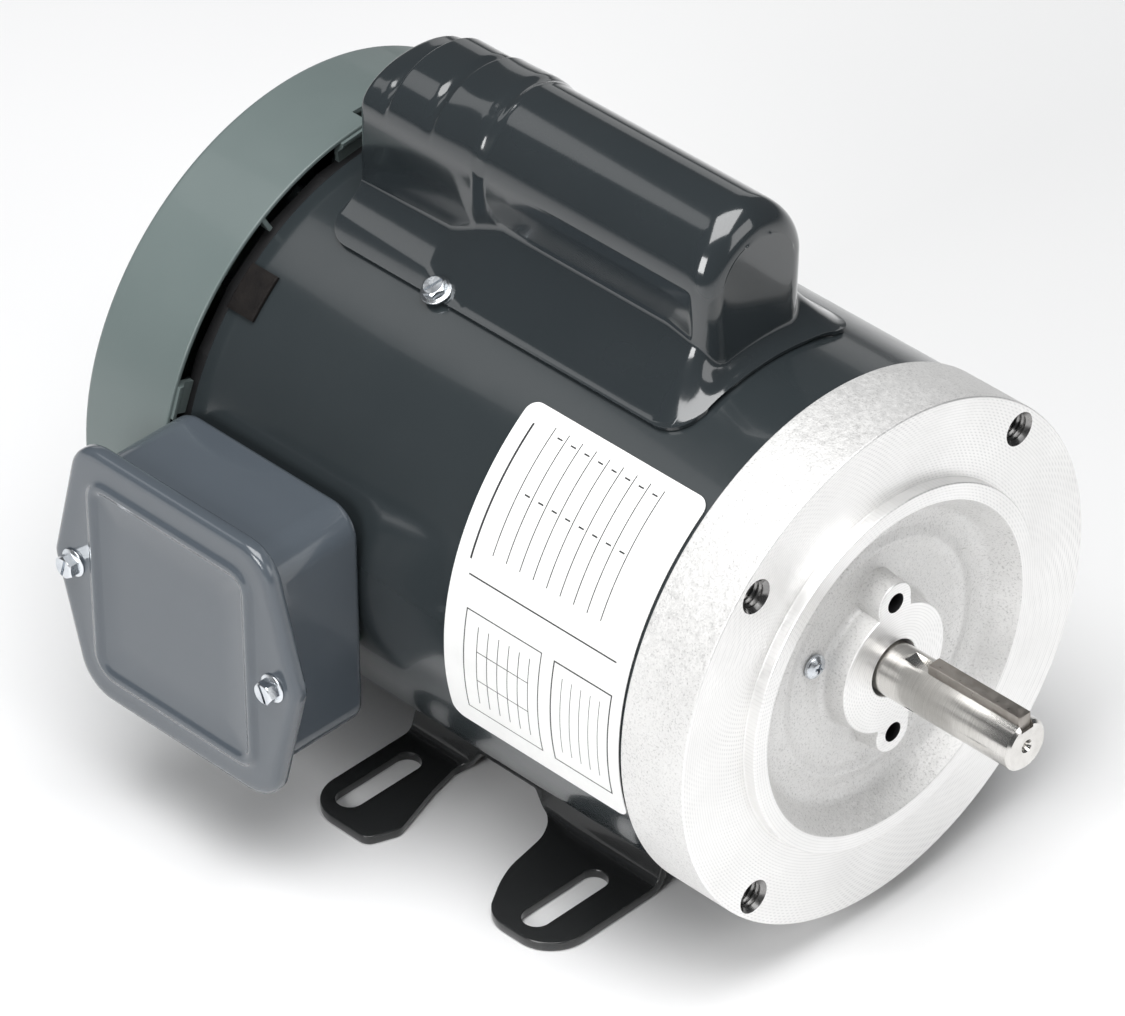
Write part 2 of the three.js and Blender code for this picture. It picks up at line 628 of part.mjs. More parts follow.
function fanCover() {
  const inner = FAN_COVER_R - SHEET;
  const rear = FAN_COVER_REAR;
  const can = turned([
    [FAN_COVER_FRONT, FAN_COVER_R], [rear + 2, FAN_COVER_R], [rear + 0.6, FAN_COVER_R - 0.6],
    [rear, FAN_COVER_R - 2], [rear, 0], [rear + SHEET, 0], [rear + SHEET, FAN_COVER_R - 2.6],
    [rear + 2.6, inner], [FAN_COVER_FRONT, inner],
  ], 48);
  const tabs = TAB_ANGLES.map((degrees) => {
    const angle = THREE.MathUtils.degToRad(degrees);
    const plate = outline([[68, -5, 3], [inner + 0.8, -5], [inner + 0.8, 5], [68, 5, 3]]
      .map(([u, v, radius]) => [...slotPoint(angle, u, v), radius]));
    const bend = outline([[inner - 2, -5], [inner + 0.8, -5], [inner + 0.8, 5], [inner - 2, 5]]
      .map(([u, v]) => slotPoint(angle, u, v)));
    return join(slab(plate, 'x', -205.7, -204.2), slab(bend, 'x', -204.4, FAN_COVER_FRONT));
  });
  const ribAngle = THREE.MathUtils.degToRad(121);
  const rib = slab(outline([[81.2, -0.7], [87, -0.7], [87, 0.7], [81.2, 0.7]]
    .map(([u, v]) => slotPoint(ribAngle, u, v))), 'x', -204, FAN_COVER_FRONT);
  const vents = Array.from({ length: 12 }, (_, i) => {
    const angle = (i * 2 * Math.PI) / 12;
    const corners = [[14, -1.8], [36, -4.5], [36, 4.5], [14, 1.8]];
    return slab(outline(corners.map(([u, v]) => slotPoint(angle, u, v))), 'x', rear - 1, rear + 3);
  });
  const screws = TAB_ANGLES.map((degrees) => {
    const [y, z] = polar(TAB_SCREW_R, degrees);
    return rod([-207, y, z], [-203, y, z], 2.4, 6);
  });
  const relief = slab(arcStrip(84, 92, 86, 92), 'x', -205, FAN_COVER_FRONT + 1);
  return cut(join(can, ...tabs, rib), relief, ...vents, ...screws);
}

// ---------------------------------------------------------------- capacitor and its cover

// Cross-section of the cover's body at one x: straight sides and a round arch, in y, z.
function archRing(x, halfWidth, archTop) {
  const steps = 10;
  const arch = Array.from({ length: steps + 1 }, (_, i) => {
    const angle = Math.PI * (1 - i / steps);
    return [x, halfWidth * Math.cos(angle), CAP_COVER_ARCH_Z + (archTop - CAP_COVER_ARCH_Z) * Math.sin(angle)];
  });
  return [[x, -halfWidth, 66], ...arch, [x, halfWidth, 66]];
}

// The arch is highest in its middle part, steps down twice to the rear and once to the front.
const CAP_COVER_STATIONS = [
  [-185.2, 15, 114.6], [-184.7, 17.4, 118], [-183.6, 19.6, 119.6], [-182, 20.3, 120.1],
  [-175.4, 20.5, 120.4], [-174.2, 20.5, 124.7], [-157.6, 20.5, 125.3], [-156.4, 20.5, 127.6],
  [-136.5, 20.5, 128.5], [-134.5, 20.5, 128.9], [-57.5, 20.5, 128.9], [-53.4, 19.4, 127.3],
  [-51, 17, 124.5], [-50, 13.6, 121],
];

function capacitorCover() {
  const outer = loft(CAP_COVER_STATIONS.map(([x, w, top]) => archRing(x, w, top)));
  const middle = -117.5;
  const squeeze = (x) => middle + (x - middle) * 0.979;
  const inner = loft(CAP_COVER_STATIONS.map(([x, w, top]) => archRing(squeeze(x), w - 1.3, top - 1.3)));
  const flangeInner = BODY_R + GAP;
  const flangeOuter = flangeInner + 1.4;
  const flange = slab(arcStrip(flangeInner, flangeOuter, 90 - 26.3, 90 + 26.3), 'x', -186.5, -45, 8)
    .intersect(slab(rectangle(-186.5, -36.4, -45, 36.4, 10), 'z', 60, 100, 3));
  const under = turned([[-240, 0], [0, 0], [0, flangeInner + 0.02], [-240, flangeInner + 0.02]], 60);
  const holes = [-1, 1].map((side) => {
    const [y, z] = polar(90, 90 + side * CAP_COVER_SCREW_ANGLE);
    return rod([CAP_COVER_SCREW_X, 0, 0], [CAP_COVER_SCREW_X, y, z], 2.4, 6);
  });
  return cut(join(cut(outer, under), flange), inner, ...holes);
}

function startCapacitor() {
  const can = turned([
    [-155, 0], [-155, CAPACITOR_R - 1], [-154, CAPACITOR_R], [-61, CAPACITOR_R],
    [-60, CAPACITOR_R - 1.4], [-60, 0],
  ], 32).translate([0, 0, CAPACITOR_Z]);
  const sockets = [-1, 1].map((side) => block([-156, side * 8 - 0.8, 95.6], [-152, side * 8 + 0.8, 103.6]));
  return cut(can, ...sockets);
}

function capacitorTerminal(side) {
  return block([-162.5, side * 8 - 0.4, 96.4], [-153, side * 8 + 0.4, 102.8]);
}

// A soft bushing that lines a round hole through a wall, built along +z and then placed.
function bushing(place, holeR, boreR, wallLow, wallHigh) {
  const outline = [
    [boreR, wallLow - 1.3], [holeR + 2.2, wallLow - 1.3], [holeR + 2.2, wallLow], [holeR - 0.3, wallLow],
    [holeR - 0.3, wallHigh], [holeR + 2.2, wallHigh], [holeR + 2.2, wallHigh + 1.3], [boreR, wallHigh + 1.3],
  ];
  const points = [...outline, outline[0]].map(([r, h]) => new THREE.Vector2(r, h));
  const geometry = new THREE.LatheGeometry(points, 16).rotateX(Math.PI / 2);
  return solid(geometry.applyMatrix4(place));
}

// ---------------------------------------------------------------- conduit box

// Rounded rectangle in x, z at one y.
function boxRing(y, inset, radius) {
  const steps = 2;
  const [w, h] = [BOX_HALF_W - inset, BOX_HALF_H - inset];
  const corners = [[1, 1, 0], [-1, 1, 90], [-1, -1, 180], [1, -1, 270]];
  return corners.flatMap(([sx, sz, start]) => Array.from({ length: steps + 1 }, (_, i) => {
    const [dx, dz] = polar(radius, start + (i * 90) / steps);
    return [BOX_X + sx * (w - radius) + dx, y, BOX_Z + sz * (h - radius) + dz];
  }));
}

// Cover outline with an ear at mid height on each side, drawn in x, z.
function earedOutline(inset) {
  const [ear, w, h] = [50.1 - inset, 38.75 - inset, 44 - inset];
  return outline([
    [BOX_X + ear, BOX_Z, 5], [BOX_X + w, BOX_Z + h, 12], [BOX_X - w, BOX_Z + h, 12],
    [BOX_X - ear, BOX_Z, 5], [BOX_X - w, BOX_Z - h, 12], [BOX_X + w, BOX_Z - h, 12],
  ]);
}

const COVER_SCREW_X = [BOX_X - COVER_SCREW_OFFSET, BOX_X + COVER_SCREW_OFFSET];

const screwHoles = (from, to, radius) =>
  COVER_SCREW_X.map((x) => rod([x, from, BOX_Z], [x, to, BOX_Z], radius, 8));

function conduitBox() {
  const outside = loft([
    boxRing(BOX_BACK, 2.4, 8), boxRing(BOX_BACK - 0.7, 0.7, 9.4), boxRing(BOX_BACK - 2.4, 0, 10),
    boxRing(BOX_RIM, 0, 10),
  ]);
  const inside = loft([
    boxRing(BOX_BACK - 1.4, 3.2, 7), boxRing(BOX_BACK - 2.9, 1.4, 8.6), boxRing(BOX_RIM - 2, 1.4, 8.6),
  ]);
  const flange = slab(earedOutline(2), 'y', BOX_RIM + 1.4, BOX_RIM);
  const holes = [
    rod([BOX_X, -70, 0], [BOX_X, -84, 0], 9, 16),
    rod([BOX_X, -98.5, BOX_Z - 30], [BOX_X, -98.5, BOX_Z - 45], 11.1, 20),
    ...BOX_MOUNT_X.map((x) => rod([x, -70, 0], [x, -84, 0], 2.6, 8)),
    rod([GROUND_SCREW[0], -70, GROUND_SCREW[1]], [GROUND_SCREW[0], -84, GROUND_SCREW[1]], 2.3, 10),
  ];
  return cut(join(outside, flange), inside, ...screwHoles(BOX_RIM + 3, BOX_RIM - 1, 2.3), ...holes);
}
const GROUND_SCREW = [BOX_X + 24, BOX_Z - 20];

function conduitGasket() {
  const sheet = slab(earedOutline(3), 'y', BOX_RIM - 0.15, COVER_FACE + 1.65);
  const window = slab(rectangle(BOX_X - 34, BOX_Z - 35, BOX_X + 34, BOX_Z + 35, 7), 'y', BOX_RIM + 1, COVER_FACE);
  return cut(sheet, window, ...screwHoles(BOX_RIM + 1, COVER_FACE, 2.5));
}

function conduitCover() {
  const face = slab(earedOutline(0), 'y', COVER_FACE + 5, COVER_FACE);
  const hollow = slab(earedOutline(1.4), 'y', COVER_FACE + 6, COVER_FACE + 1.5);
  const beadOut = slab(rectangle(BOX_X - 33.5, BOX_Z - 35, BOX_X + 33.5, BOX_Z + 35, 9), 'y', COVER_FACE + 0.4, COVER_FACE - 1.2);
  const beadIn = slab(rectangle(BOX_X - 29.6, BOX_Z - 31, BOX_X + 29.6, BOX_Z + 31, 7), 'y', COVER_FACE, COVER_FACE - 2);
  return cut(join(cut(face, hollow), cut(beadOut, beadIn)), ...screwHoles(COVER_FACE + 4, COVER_FACE - 3, 2.3));
}

// ---------------------------------------------------------------- assembly

const FINISH = {
  slate: [0x3d4347, 0.3, 0.1],
  fanGreen: [0x76837f, 0.45, 0.1],
  black: [0x232626, 0.4, 0.1],
  castAluminium: [0xcfd0d1, 0.5, 0.6],
  darkCasting: [0x4a4d50, 0.55, 0.3],
  steel: [0xa8a8a6, 0.25, 0.9],
  zinc: [0xd6d9dc, 0.25, 0.9],
  keySteel: [0x87807a, 0.4, 0.8],
  lamination: [0x6f7378, 0.5, 0.7],
  copper: [0x9c5a2d, 0.35, 0.6],
  brass: [0xb8964a, 0.35, 0.9],
  label: [0xf2f2f0, 0.5, 0],
  rubber: [0x1b1a1a, 0.9, 0],
  phenolic: [0x3b2a20, 0.6, 0],
  blackPlastic: [0x17181a, 0.35, 0],
  gasket: [0x2a2a2a, 0.95, 0],
  leadBlack: [0x1d1d1f, 0.5, 0],
  leadWhite: [0xe6e4df, 0.5, 0],
  groundGreen: [0x2f7a3f, 0.4, 0.3],
};

const motor = new THREE.Group();
motor.position.x = -FAN_COVER_REAR;

function add(name, body, finish) {
  const { vertProperties, triVerts } = body.getMesh();
  const geometry = new THREE.BufferGeometry();
  geometry.setAttribute('position', new THREE.BufferAttribute(vertProperties, 3));
  geometry.setIndex(new THREE.BufferAttribute(triVerts, 1));
  geometry.computeVertexNormals();
  const [color, roughness, metalness] = FINISH[finish];
  const mesh = new THREE.Mesh(geometry, new THREE.MeshStandardMaterial({ color, roughness, metalness }));
  mesh.name = name;
  motor.add(mesh);
}

const towards = (direction, offset) => new THREE.Matrix4().compose(
  new THREE.Vector3(...offset),
  new THREE.Quaternion().setFromUnitVectors(new THREE.Vector3(0, 0, 1), new THREE.Vector3(...direction)),
  new THREE.Vector3(1, 1, 1),
);

function addFrame() {
  add('motor_shell', shell(), 'slate');
  add('drive_end_bell', driveEndBell(), 'castAluminium');
  add('rear_end_bell', rearEndBell(), 'darkCasting');
  THROUGH_BOLT_ANGLES.forEach((degrees, i) => add(`through_bolt_${i + 1}`, throughBolt(degrees), 'zinc'));
  add('face_ground_screw', panHeadScrew([-4.7, ...FACE_SCREW], [1, 0, 0], 1.6, 3.4, 3.8, 2.4), 'zinc');
  add('motor_base', base(), 'black');
  add('nameplate', slab(arcStrip(BODY_R + 0.35, BODY_R + 0.65, 123.5, 198), 'x', -93, -25, 12), 'label');
  add('anti_rattle_pad', slab(arcStrip(BODY_R + GAP, BODY_R + 1.7, 128.5, 139), 'x', -199.4, -188.7, 4), 'rubber');
}

function addStator() {
  add('stator_core', statorCore(), 'lamination');
  add('main_winding', winding(54.4, 67, 26, 56, 63.6, SLOTS), 'copper');
  add('start_winding', winding(45.4, 53.8, 18, 46, 53, SLOTS / 2), 'copper');
}

function addRotor() {
  add('shaft', shaft(), 'steel');
  add('shaft_key', shaftKey(), 'keySteel');
  add('rotor_laminations', rotorLaminations(), 'lamination');
  add('rotor_cage', rotorCage(), 'castAluminium');
  for (const [name, x] of [['front', FRONT_BEARING_X], ['rear', REAR_BEARING_X]]) {
    add(`${name}_bearing_outer_race`, outerRace(x), 'steel');
    add(`${name}_bearing_inner_race`, innerRace(x), 'steel');
    add(`${name}_bearing_balls`, ballsAndCage(x), 'steel');
  }
  add('bearing_wave_spring', waveSpring(), 'steel');
}

function addStarter() {
  add('governor_base', governorBase(), 'zinc');
  add('governor_weight_upper', governorWeight(1), 'zinc');
  add('governor_weight_lower', governorWeight(-1), 'zinc');
  add('governor_spring_left', governorSpring(-1), 'steel');
  add('governor_spring_right', governorSpring(1), 'steel');
  add('governor_spool', governorSpool(), 'phenolic');
  add('switch_board', switchBoard(), 'phenolic');
  add('switch_arm', switchArm(), 'brass');
  SWITCH_SCREWS.forEach(([y, z], i) => {
    add(`switch_board_screw_${i + 1}`, panHeadScrew([-179.3, y, z], [1, 0, 0], 1.5, 10, 3.2, 2), 'zinc');
  });
}

function addCooling() {
  add('cooling_fan', fan(), 'blackPlastic');
  add('fan_clamp', fanClamp(), 'steel');
  add('fan_cover', fanCover(), 'fanGreen');
  TAB_ANGLES.forEach((degrees, i) => {
    const at = [-205.8, ...polar(TAB_SCREW_R, degrees)];
    add(`fan_cover_screw_${i + 1}`, hexWasherScrew(at, [-1, 0, 0], 2, 9, 6.4, 2.6), 'zinc');
  });
}

function addCapacitor() {
  add('capacitor_cover', capacitorCover(), 'slate');
  add('start_capacitor', startCapacitor(), 'blackPlastic');
  add('capacitor_terminal_left', capacitorTerminal(-1), 'brass');
  add('capacitor_terminal_right', capacitorTerminal(1), 'brass');
  for (const [name, side] of [['near', 1], ['far', -1]]) {
    const out = polar(1, 90 + side * CAP_COVER_SCREW_ANGLE);
    const seat = out.map((value) => value * (BODY_R + GAP + 1.7));
    const screw = hexWasherScrew([CAP_COVER_SCREW_X, ...seat], [0, ...out], 2, 7.5, 6.4, 3.3);
    add(`capacitor_cover_screw_${name}`, screw, 'zinc');
  }
}

function addConduitBox() {
  add('conduit_box', conduitBox(), 'slate');
  add('conduit_box_cover', conduitCover(), 'slate');
  add('conduit_cover_gasket', conduitGasket(), 'gasket');
  ['rear', 'front'].forEach((name, i) => {
    const at = [COVER_SCREW_X[i], COVER_FACE - 0.15, BOX_Z];
    add(`conduit_cover_screw_${name}`, hexWasherScrew(at, [0, -1, 0], 2, 9, 6.4, 4.4), 'zinc');
    const seat = [BOX_MOUNT_X[i], BOX_BACK - 1.7, 0];
    add(`conduit_box_screw_${name}`, panHeadScrew(seat, [0, -1, 0], 2.2, 8, 4, 2.4), 'zinc');
  });
  const ground = [GROUND_SCREW[0], BOX_BACK - 1.7, GROUND_SCREW[1]];
  add('conduit_box_ground_screw', hexWasherScrew(ground, [0, -1, 0], 1.9, 4.3, 7, 3.4), 'groundGreen');
  add('lead_bushing', bushing(towards([0, -1, 0], [BOX_X, 0, 0]), 9, 6.4, 77, 82), 'rubber');
  const leadPath = (side) => [
    [-156, -70.5, side * 4], [BOX_X + 2, -73.5, side * 3.4], [BOX_X, -77, side * 3], [BOX_X, -86, side * 3],
    [BOX_X - 6, -97, side * 8], [BOX_X - 14, -104, -8 + side * 12], [BOX_X - 4, -107, -24 + side * 3],
  ];
  add('line_lead_black', wire(leadPath(1), 1.7, 16), 'leadBlack');
  add('line_lead_white', wire(leadPath(-1), 1.7, 16), 'leadWhite');
}

addFrame();
addStator();
addRotor();
addStarter();
addCooling();
addCapacitor();
addConduitBox();

export default motor;
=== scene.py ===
import json
import math

import bmesh
import bpy
from mathutils import Matrix, Vector


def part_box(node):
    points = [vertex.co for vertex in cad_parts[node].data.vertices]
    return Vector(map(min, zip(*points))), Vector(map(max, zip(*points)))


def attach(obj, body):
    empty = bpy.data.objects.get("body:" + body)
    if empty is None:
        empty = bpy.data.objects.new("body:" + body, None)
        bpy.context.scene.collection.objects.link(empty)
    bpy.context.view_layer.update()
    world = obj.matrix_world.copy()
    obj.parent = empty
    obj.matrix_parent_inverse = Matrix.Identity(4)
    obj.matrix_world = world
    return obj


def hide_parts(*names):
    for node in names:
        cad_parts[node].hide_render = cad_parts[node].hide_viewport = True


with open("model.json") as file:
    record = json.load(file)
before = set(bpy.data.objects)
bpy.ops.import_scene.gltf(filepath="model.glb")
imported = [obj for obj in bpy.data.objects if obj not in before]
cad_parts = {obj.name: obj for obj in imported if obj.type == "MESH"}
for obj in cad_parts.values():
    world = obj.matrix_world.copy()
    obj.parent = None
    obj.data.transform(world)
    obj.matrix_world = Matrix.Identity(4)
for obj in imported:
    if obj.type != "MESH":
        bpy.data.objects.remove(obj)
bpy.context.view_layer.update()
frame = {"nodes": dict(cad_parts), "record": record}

# ---------------------------------------------------------------- places and sizes, in mm
# Pieces are drawn with x = 0 on the machined mounting face, y = 0 and z = 0 on the shaft axis.

PILOT_RISE = 4.0
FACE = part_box("drive_end_bell")[1][0] * 1000 - PILOT_RISE    # the mounting face, in the row frame
FLOOR_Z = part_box("motor_base")[0][2] * 1000
BELL_R = 81.3
BODY_R = 80.0
BODY_T = 1.6
BODY_FRONT = -23.9
BODY_REAR = -199.6
COVER_FRONT = -200.6
COVER_REAR = -FACE
COVER_R = 88.0
SHEET = 1.5
COVER_SHEET = 1.3        # capacitor cover and conduit box cover
BOX_SHEET = 1.4
LABEL_SHEET = 0.3
BOX_X = -163.1
BOX_Z = -8.6
BOX_HALF_W = 37.1
BOX_HALF_H = 38.6
COVER_FACE = -119.0
BOX_RIM = -116.0
VENTS = 12
TAB_ANGLES = (96, 160, 245, 335)
TAB_SCREW_R = 74.5
TAP_ANGLES = (45, 135, 225, 315)
TAP_CIRCLE_R = 74.6
TAP_PITCH = 1.588
PILOT_R = 57.15
BOSS_Z = 22.75           # the two bosses sit this far above and below the shaft
BOSS_HOLE_R = 3.1
GROUND_SCREW = (-24.6, 10.4)
SHAFT_R = 7.9375
BEARING_SEAT_R = 8.47
SHAFT_END = 52.4
KEY_SIZE = 4.76


def at(x, y, z):
    """A point drawn in mm from the mounting face, as metres in the row frame."""
    return Vector(((x + FACE) / 1000, y / 1000, z / 1000))


def polar(radius, degrees):
    angle = math.radians(degrees)
    return radius * math.cos(angle), radius * math.sin(angle)


# ---------------------------------------------------------------- mesh tools

def link(name, data):
    """An object in the scene for a mesh, a lamp or a camera."""
    obj = bpy.data.objects.new(name, data)
    bpy.context.scene.collection.objects.link(obj)
    return obj


def new_object(name, verts, faces, smooth_angle=32):
    mesh = bpy.data.meshes.new(name)
    mesh.from_pydata([tuple(v) for v in verts], [], faces)
    obj = link(name, mesh)
    tidy(obj, smooth_angle)
    return obj


def tidy(obj, smooth_angle=32):
    """Merges doubled points, turns every face outwards and shades it smooth up to an angle."""
    work = bmesh.new()
    work.from_mesh(obj.data)
    bmesh.ops.remove_doubles(work, verts=work.verts, dist=2e-6)
    bmesh.ops.dissolve_degenerate(work, dist=1e-7, edges=work.edges)
    bmesh.ops.recalc_face_normals(work, faces=work.faces)
    work.to_mesh(obj.data)
    work.free()
    shade(obj, smooth_angle)


def shade(obj, smooth_angle):
    mesh = obj.data
    mesh.polygons.foreach_set("use_smooth", [True] * len(mesh.polygons))
    mesh.set_sharp_from_angle(angle=math.radians(smooth_angle))


def bake(obj, smooth_angle=32):
    """Applies every modifier on obj."""
    bpy.context.view_layer.update()
    graph = bpy.context.evaluated_depsgraph_get()
    mesh = bpy.data.meshes.new_from_object(obj.evaluated_get(graph))
    old = obj.data
    obj.modifiers.clear()
    obj.data = mesh
    bpy.data.meshes.remove(old)
    shade(obj, smooth_angle)


def boolean(obj, tools, operation="DIFFERENCE", smooth_angle=32):
    """Joins or cuts obj with each tool in turn, and removes the tools."""
    for tool in tools:
        step = obj.modifiers.new("cut", "BOOLEAN")
        step.operation = operation
        step.solver = "EXACT"
        step.object = tool
        bake(obj, smooth_angle)
        bpy.data.objects.remove(tool)


def merged(objects, name):
    """One object that holds the meshes of several."""
    work = bmesh.new()
    for obj in objects:
        obj.data.transform(obj.matrix_world)
        work.from_mesh(obj.data)
        bpy.data.objects.remove(obj)
    mesh = bpy.data.meshes.new(name)
    work.to_mesh(mesh)
    work.free()
    obj = link(name, mesh)
    shade(obj, 32)
    return obj


def bevel(obj, width, angle=40):
    step = obj.modifiers.new("edge", "BEVEL")
    step.width = width / 1000
    step.segments = 2
    step.limit_method = "ANGLE"
    step.angle_limit = math.radians(angle)
    step.harden_normals = False
    bake(obj, 50)


def thicken(obj, thickness, smooth_angle):
    """Turns a skin into a sheet that lies inside it, its thickness in mm."""
    step = obj.modifiers.new("sheet", "SOLIDIFY")
    step.thickness = thickness / 1000
    step.offset = -1
    bake(obj, smooth_angle)


def weight_normals(obj):
    step = obj.modifiers.new("normals", "WEIGHTED_NORMAL")
    step.keep_sharp = True
    step.weight = 80


def fillet(corners, closed=True, turn=10):
    """A polyline through (u, v, radius) corners, each rounded by its radius."""
    out = []
    count = len(corners)
    for i, corner in enumerate(corners):
        here = Vector(corner[:2])
        radius = corner[2] if len(corner) > 2 else 0
        if radius <= 0 or (not closed and i in (0, count - 1)):
            out.append((here.x, here.y))
            continue
        back = Vector(corners[i - 1][:2]) - here
        ahead = Vector(corners[(i + 1) % count][:2]) - here
        limit = 0.49 * min(back.length, ahead.length)
        half = back.angle(ahead) / 2
        if abs(half - math.pi / 2) < 0.01:
            out.append((here.x, here.y))
            continue
        reach = min(radius / math.tan(half), limit)
        radius = reach * math.tan(half)
        back.normalize()
        ahead.normalize()
        centre = here + (back + ahead).normalized() * (radius / math.sin(half))
        first = here + back * reach - centre
        last = here + ahead * reach - centre
        start = math.atan2(first.y, first.x)
        sweep = (math.atan2(last.y, last.x) - start + math.pi) % (2 * math.pi) - math.pi
        steps = max(2, int(abs(math.degrees(sweep)) / turn) + 1)
        for k in range(steps + 1):
            angle = start + sweep * k / steps
            out.append((centre.x + radius * math.cos(angle), centre.y + radius * math.sin(angle)))
    return out


def turned_faces(profile, segments):
    """Faces between turned copies of a closed outline, except where it runs along the axis."""
    count = len(profile)
    faces = []
    for k in range(segments):
        a, b = k * count, (k + 1) % segments * count
        for j in range(count):
            jn = (j + 1) % count
            if max(profile[j][1], profile[jn][1]) >= 1e-6:
                faces.append((a + j, a + jn, b + jn, b + j))
    return faces


def lathe(name, profile, segments):
    """A closed (x, radius) outline turned about the shaft axis."""
    verts = []
    for k in range(segments):
        angle = 2 * math.pi * k / segments
        for x, r in profile:
            verts.append(at(x, r * math.cos(angle), r * math.sin(angle)))
    return new_object(name, verts, turned_faces(profile, segments))


def spun(name, profile, origin, axis, segments=32, turn=0):
    """A closed (height, radius) outline turned about any axis."""
    axis = Vector(axis).normalized()
    side = axis.orthogonal().normalized()
    other = axis.cross(side)
    origin = Vector(origin)
    verts = []
    for k in range(segments):
        angle = 2 * math.pi * k / segments + turn
        way = side * math.cos(angle) + other * math.sin(angle)
        for h, r in profile:
            verts.append(at(*(origin + axis * h + way * r)))
    return new_object(name, verts, turned_faces(profile, segments))


PLANES = {
    "x": lambda u, v, w: (w, u, v),
    "y": lambda u, v, w: (u, w, v),
    "z": lambda u, v, w: (u, v, w),
}


def slab(name, outline, axis, low, high):
    """A flat outline between two positions on an axis."""
    place = PLANES[axis]
    count = len(outline)
    verts = [at(*place(u, v, w)) for w in (low, high) for u, v in outline]
    faces = [tuple(range(count)), tuple(range(count, 2 * count))]
    for j in range(count):
        jn = (j + 1) % count
        faces.append((j, jn, count + jn, count + j))
    return new_object(name, verts, faces)


def rings(name, loops, cap=True, closed=True, smooth_angle=32):
    """A skin over loops with the same number of points."""
    count = len(loops[0])
    verts = [at(*p) for loop in loops for p in loop]
    faces = []
    for i in range(len(loops) - 1):
        for j in range(count if closed else count - 1):
            jn = (j + 1) % count
            a, b = i * count, (i + 1) * count
            faces.append((a + j, a + jn, b + jn, b + j))
    if cap:
        faces.append(tuple(range(count)))
        faces.append(tuple(range((len(loops) - 1) * count, len(loops) * count)))
    return new_object(name, verts, faces, smooth_angle)


BOX_FACES = [(0, 1, 2, 3), (4, 5, 6, 7), (0, 1, 5, 4), (1, 2, 6, 5), (2, 3, 7, 6), (3, 0, 4, 7)]


def tapered_bar(name, seat, out, way, levels):
    """A four-sided bar along way: (height along out, half length, half width) at each end."""
    across = out.cross(way)
    verts = []
    for height, long, wide in levels:
        for a, b in ((-1, -1), (1, -1), (1, 1), (-1, 1)):
            verts.append(at(*(seat + out * height + way * a * long + across * b * wide)))
    return new_object(name, verts, BOX_FACES)


def turned_about_shaft(points, angle):
    """Points of a plane across the shaft, turned by an angle in radians."""
    c, s = math.cos(angle), math.sin(angle)
    return [(u * c - v * s, u * s + v * c) for u, v in points]


def block(name, low, high):
    outline = [(low[0], low[1]), (high[0], low[1]), (high[0], high[1]), (low[0], high[1])]
    return slab(name, outline, "z", low[2], high[2])


def stripe(value, edges):
    """Linear interpolation through (position, value) pairs."""
    for (a, fa), (b, fb) in zip(edges, edges[1:]):
        if value <= b:
            return fa + (fb - fa) * max(0.0, min(1.0, (value - a) / (b - a)))
    return edges[-1][1]


def ease(t):
    t = max(0.0, min(1.0, t))
    return t * t * (3 - 2 * t)


# ---------------------------------------------------------------- materials

def mix_colour(tree, a, b, factor):
    node = tree.nodes.new("ShaderNodeMix")
    node.data_type = "RGBA"
    for name, value in ((6, a), (7, b)):
        if isinstance(value, tuple):
            node.inputs[name].default_value = (*value, 1)
        else:
            tree.links.new(value, node.inputs[name])
    tree.links.new(factor, node.inputs[0])
    return node.outputs[2]


def noise(tree, coords, scale, detail=3, rough=0.55):
    node = tree.nodes.new("ShaderNodeTexNoise")
    node.inputs["Scale"].default_value = scale
    node.inputs["Detail"].default_value = detail
    node.inputs["Roughness"].default_value = rough
    tree.links.new(coords, node.inputs["Vector"])
    return node.outputs["Fac"]


def remap(tree, value, low, high, to_low, to_high):
    node = tree.nodes.new("ShaderNodeMapRange")
    node.inputs["From Min"].default_value = low
    node.inputs["From Max"].default_value = high
    node.inputs["To Min"].default_value = to_low
    node.inputs["To Max"].default_value = to_high
    tree.links.new(value, node.inputs["Value"])
    return node.outputs["Result"]


def patches(tree, coords, scale, detail, low, high, to_low=0.0, to_high=1.0):
    """Noise whose range from low to high is stretched to another."""
    return remap(tree, noise(tree, coords, scale, detail), low, high, to_low, to_high)


def maths(tree, operation, a, b=0.0):
    node = tree.nodes.new("ShaderNodeMath")
    node.operation = operation
    for slot, value in zip(node.inputs, (a, b)):
        if isinstance(value, (int, float)):
            slot.default_value = value
        else:
            tree.links.new(value, slot)
    return node.outputs[0]


def waves(tree, value, pitch):
    """A sine over a length, its pitch in metres."""
    return maths(tree, "SINE", maths(tree, "MULTIPLY", value, 2 * math.pi / pitch))


def distance(tree, y, z, y0=0.0, z0=0.0):
    """Distance of a point from (y0, z0), in metres."""
    squares = [
        maths(tree, "POWER", maths(tree, "SUBTRACT", value, middle), 2.0)
        for value, middle in ((y, y0), (z, z0))
    ]
    return maths(tree, "SQRT", maths(tree, "ADD", *squares))


def edge_mask(tree, width):
    """White on sharp edges, within a width in metres."""
    round_edge = tree.nodes.new("ShaderNodeBevel")
    round_edge.samples = 4
    round_edge.inputs["Radius"].default_value = width
    geometry = tree.nodes.new("ShaderNodeNewGeometry")
    dot = tree.nodes.new("ShaderNodeVectorMath")
    dot.operation = "DOT_PRODUCT"
    tree.links.new(round_edge.outputs[0], dot.inputs[0])
    tree.links.new(geometry.outputs["Normal"], dot.inputs[1])
    return remap(tree, maths(tree, "SUBTRACT", 1.0, dot.outputs["Value"]), 0.02, 0.25, 0, 1)


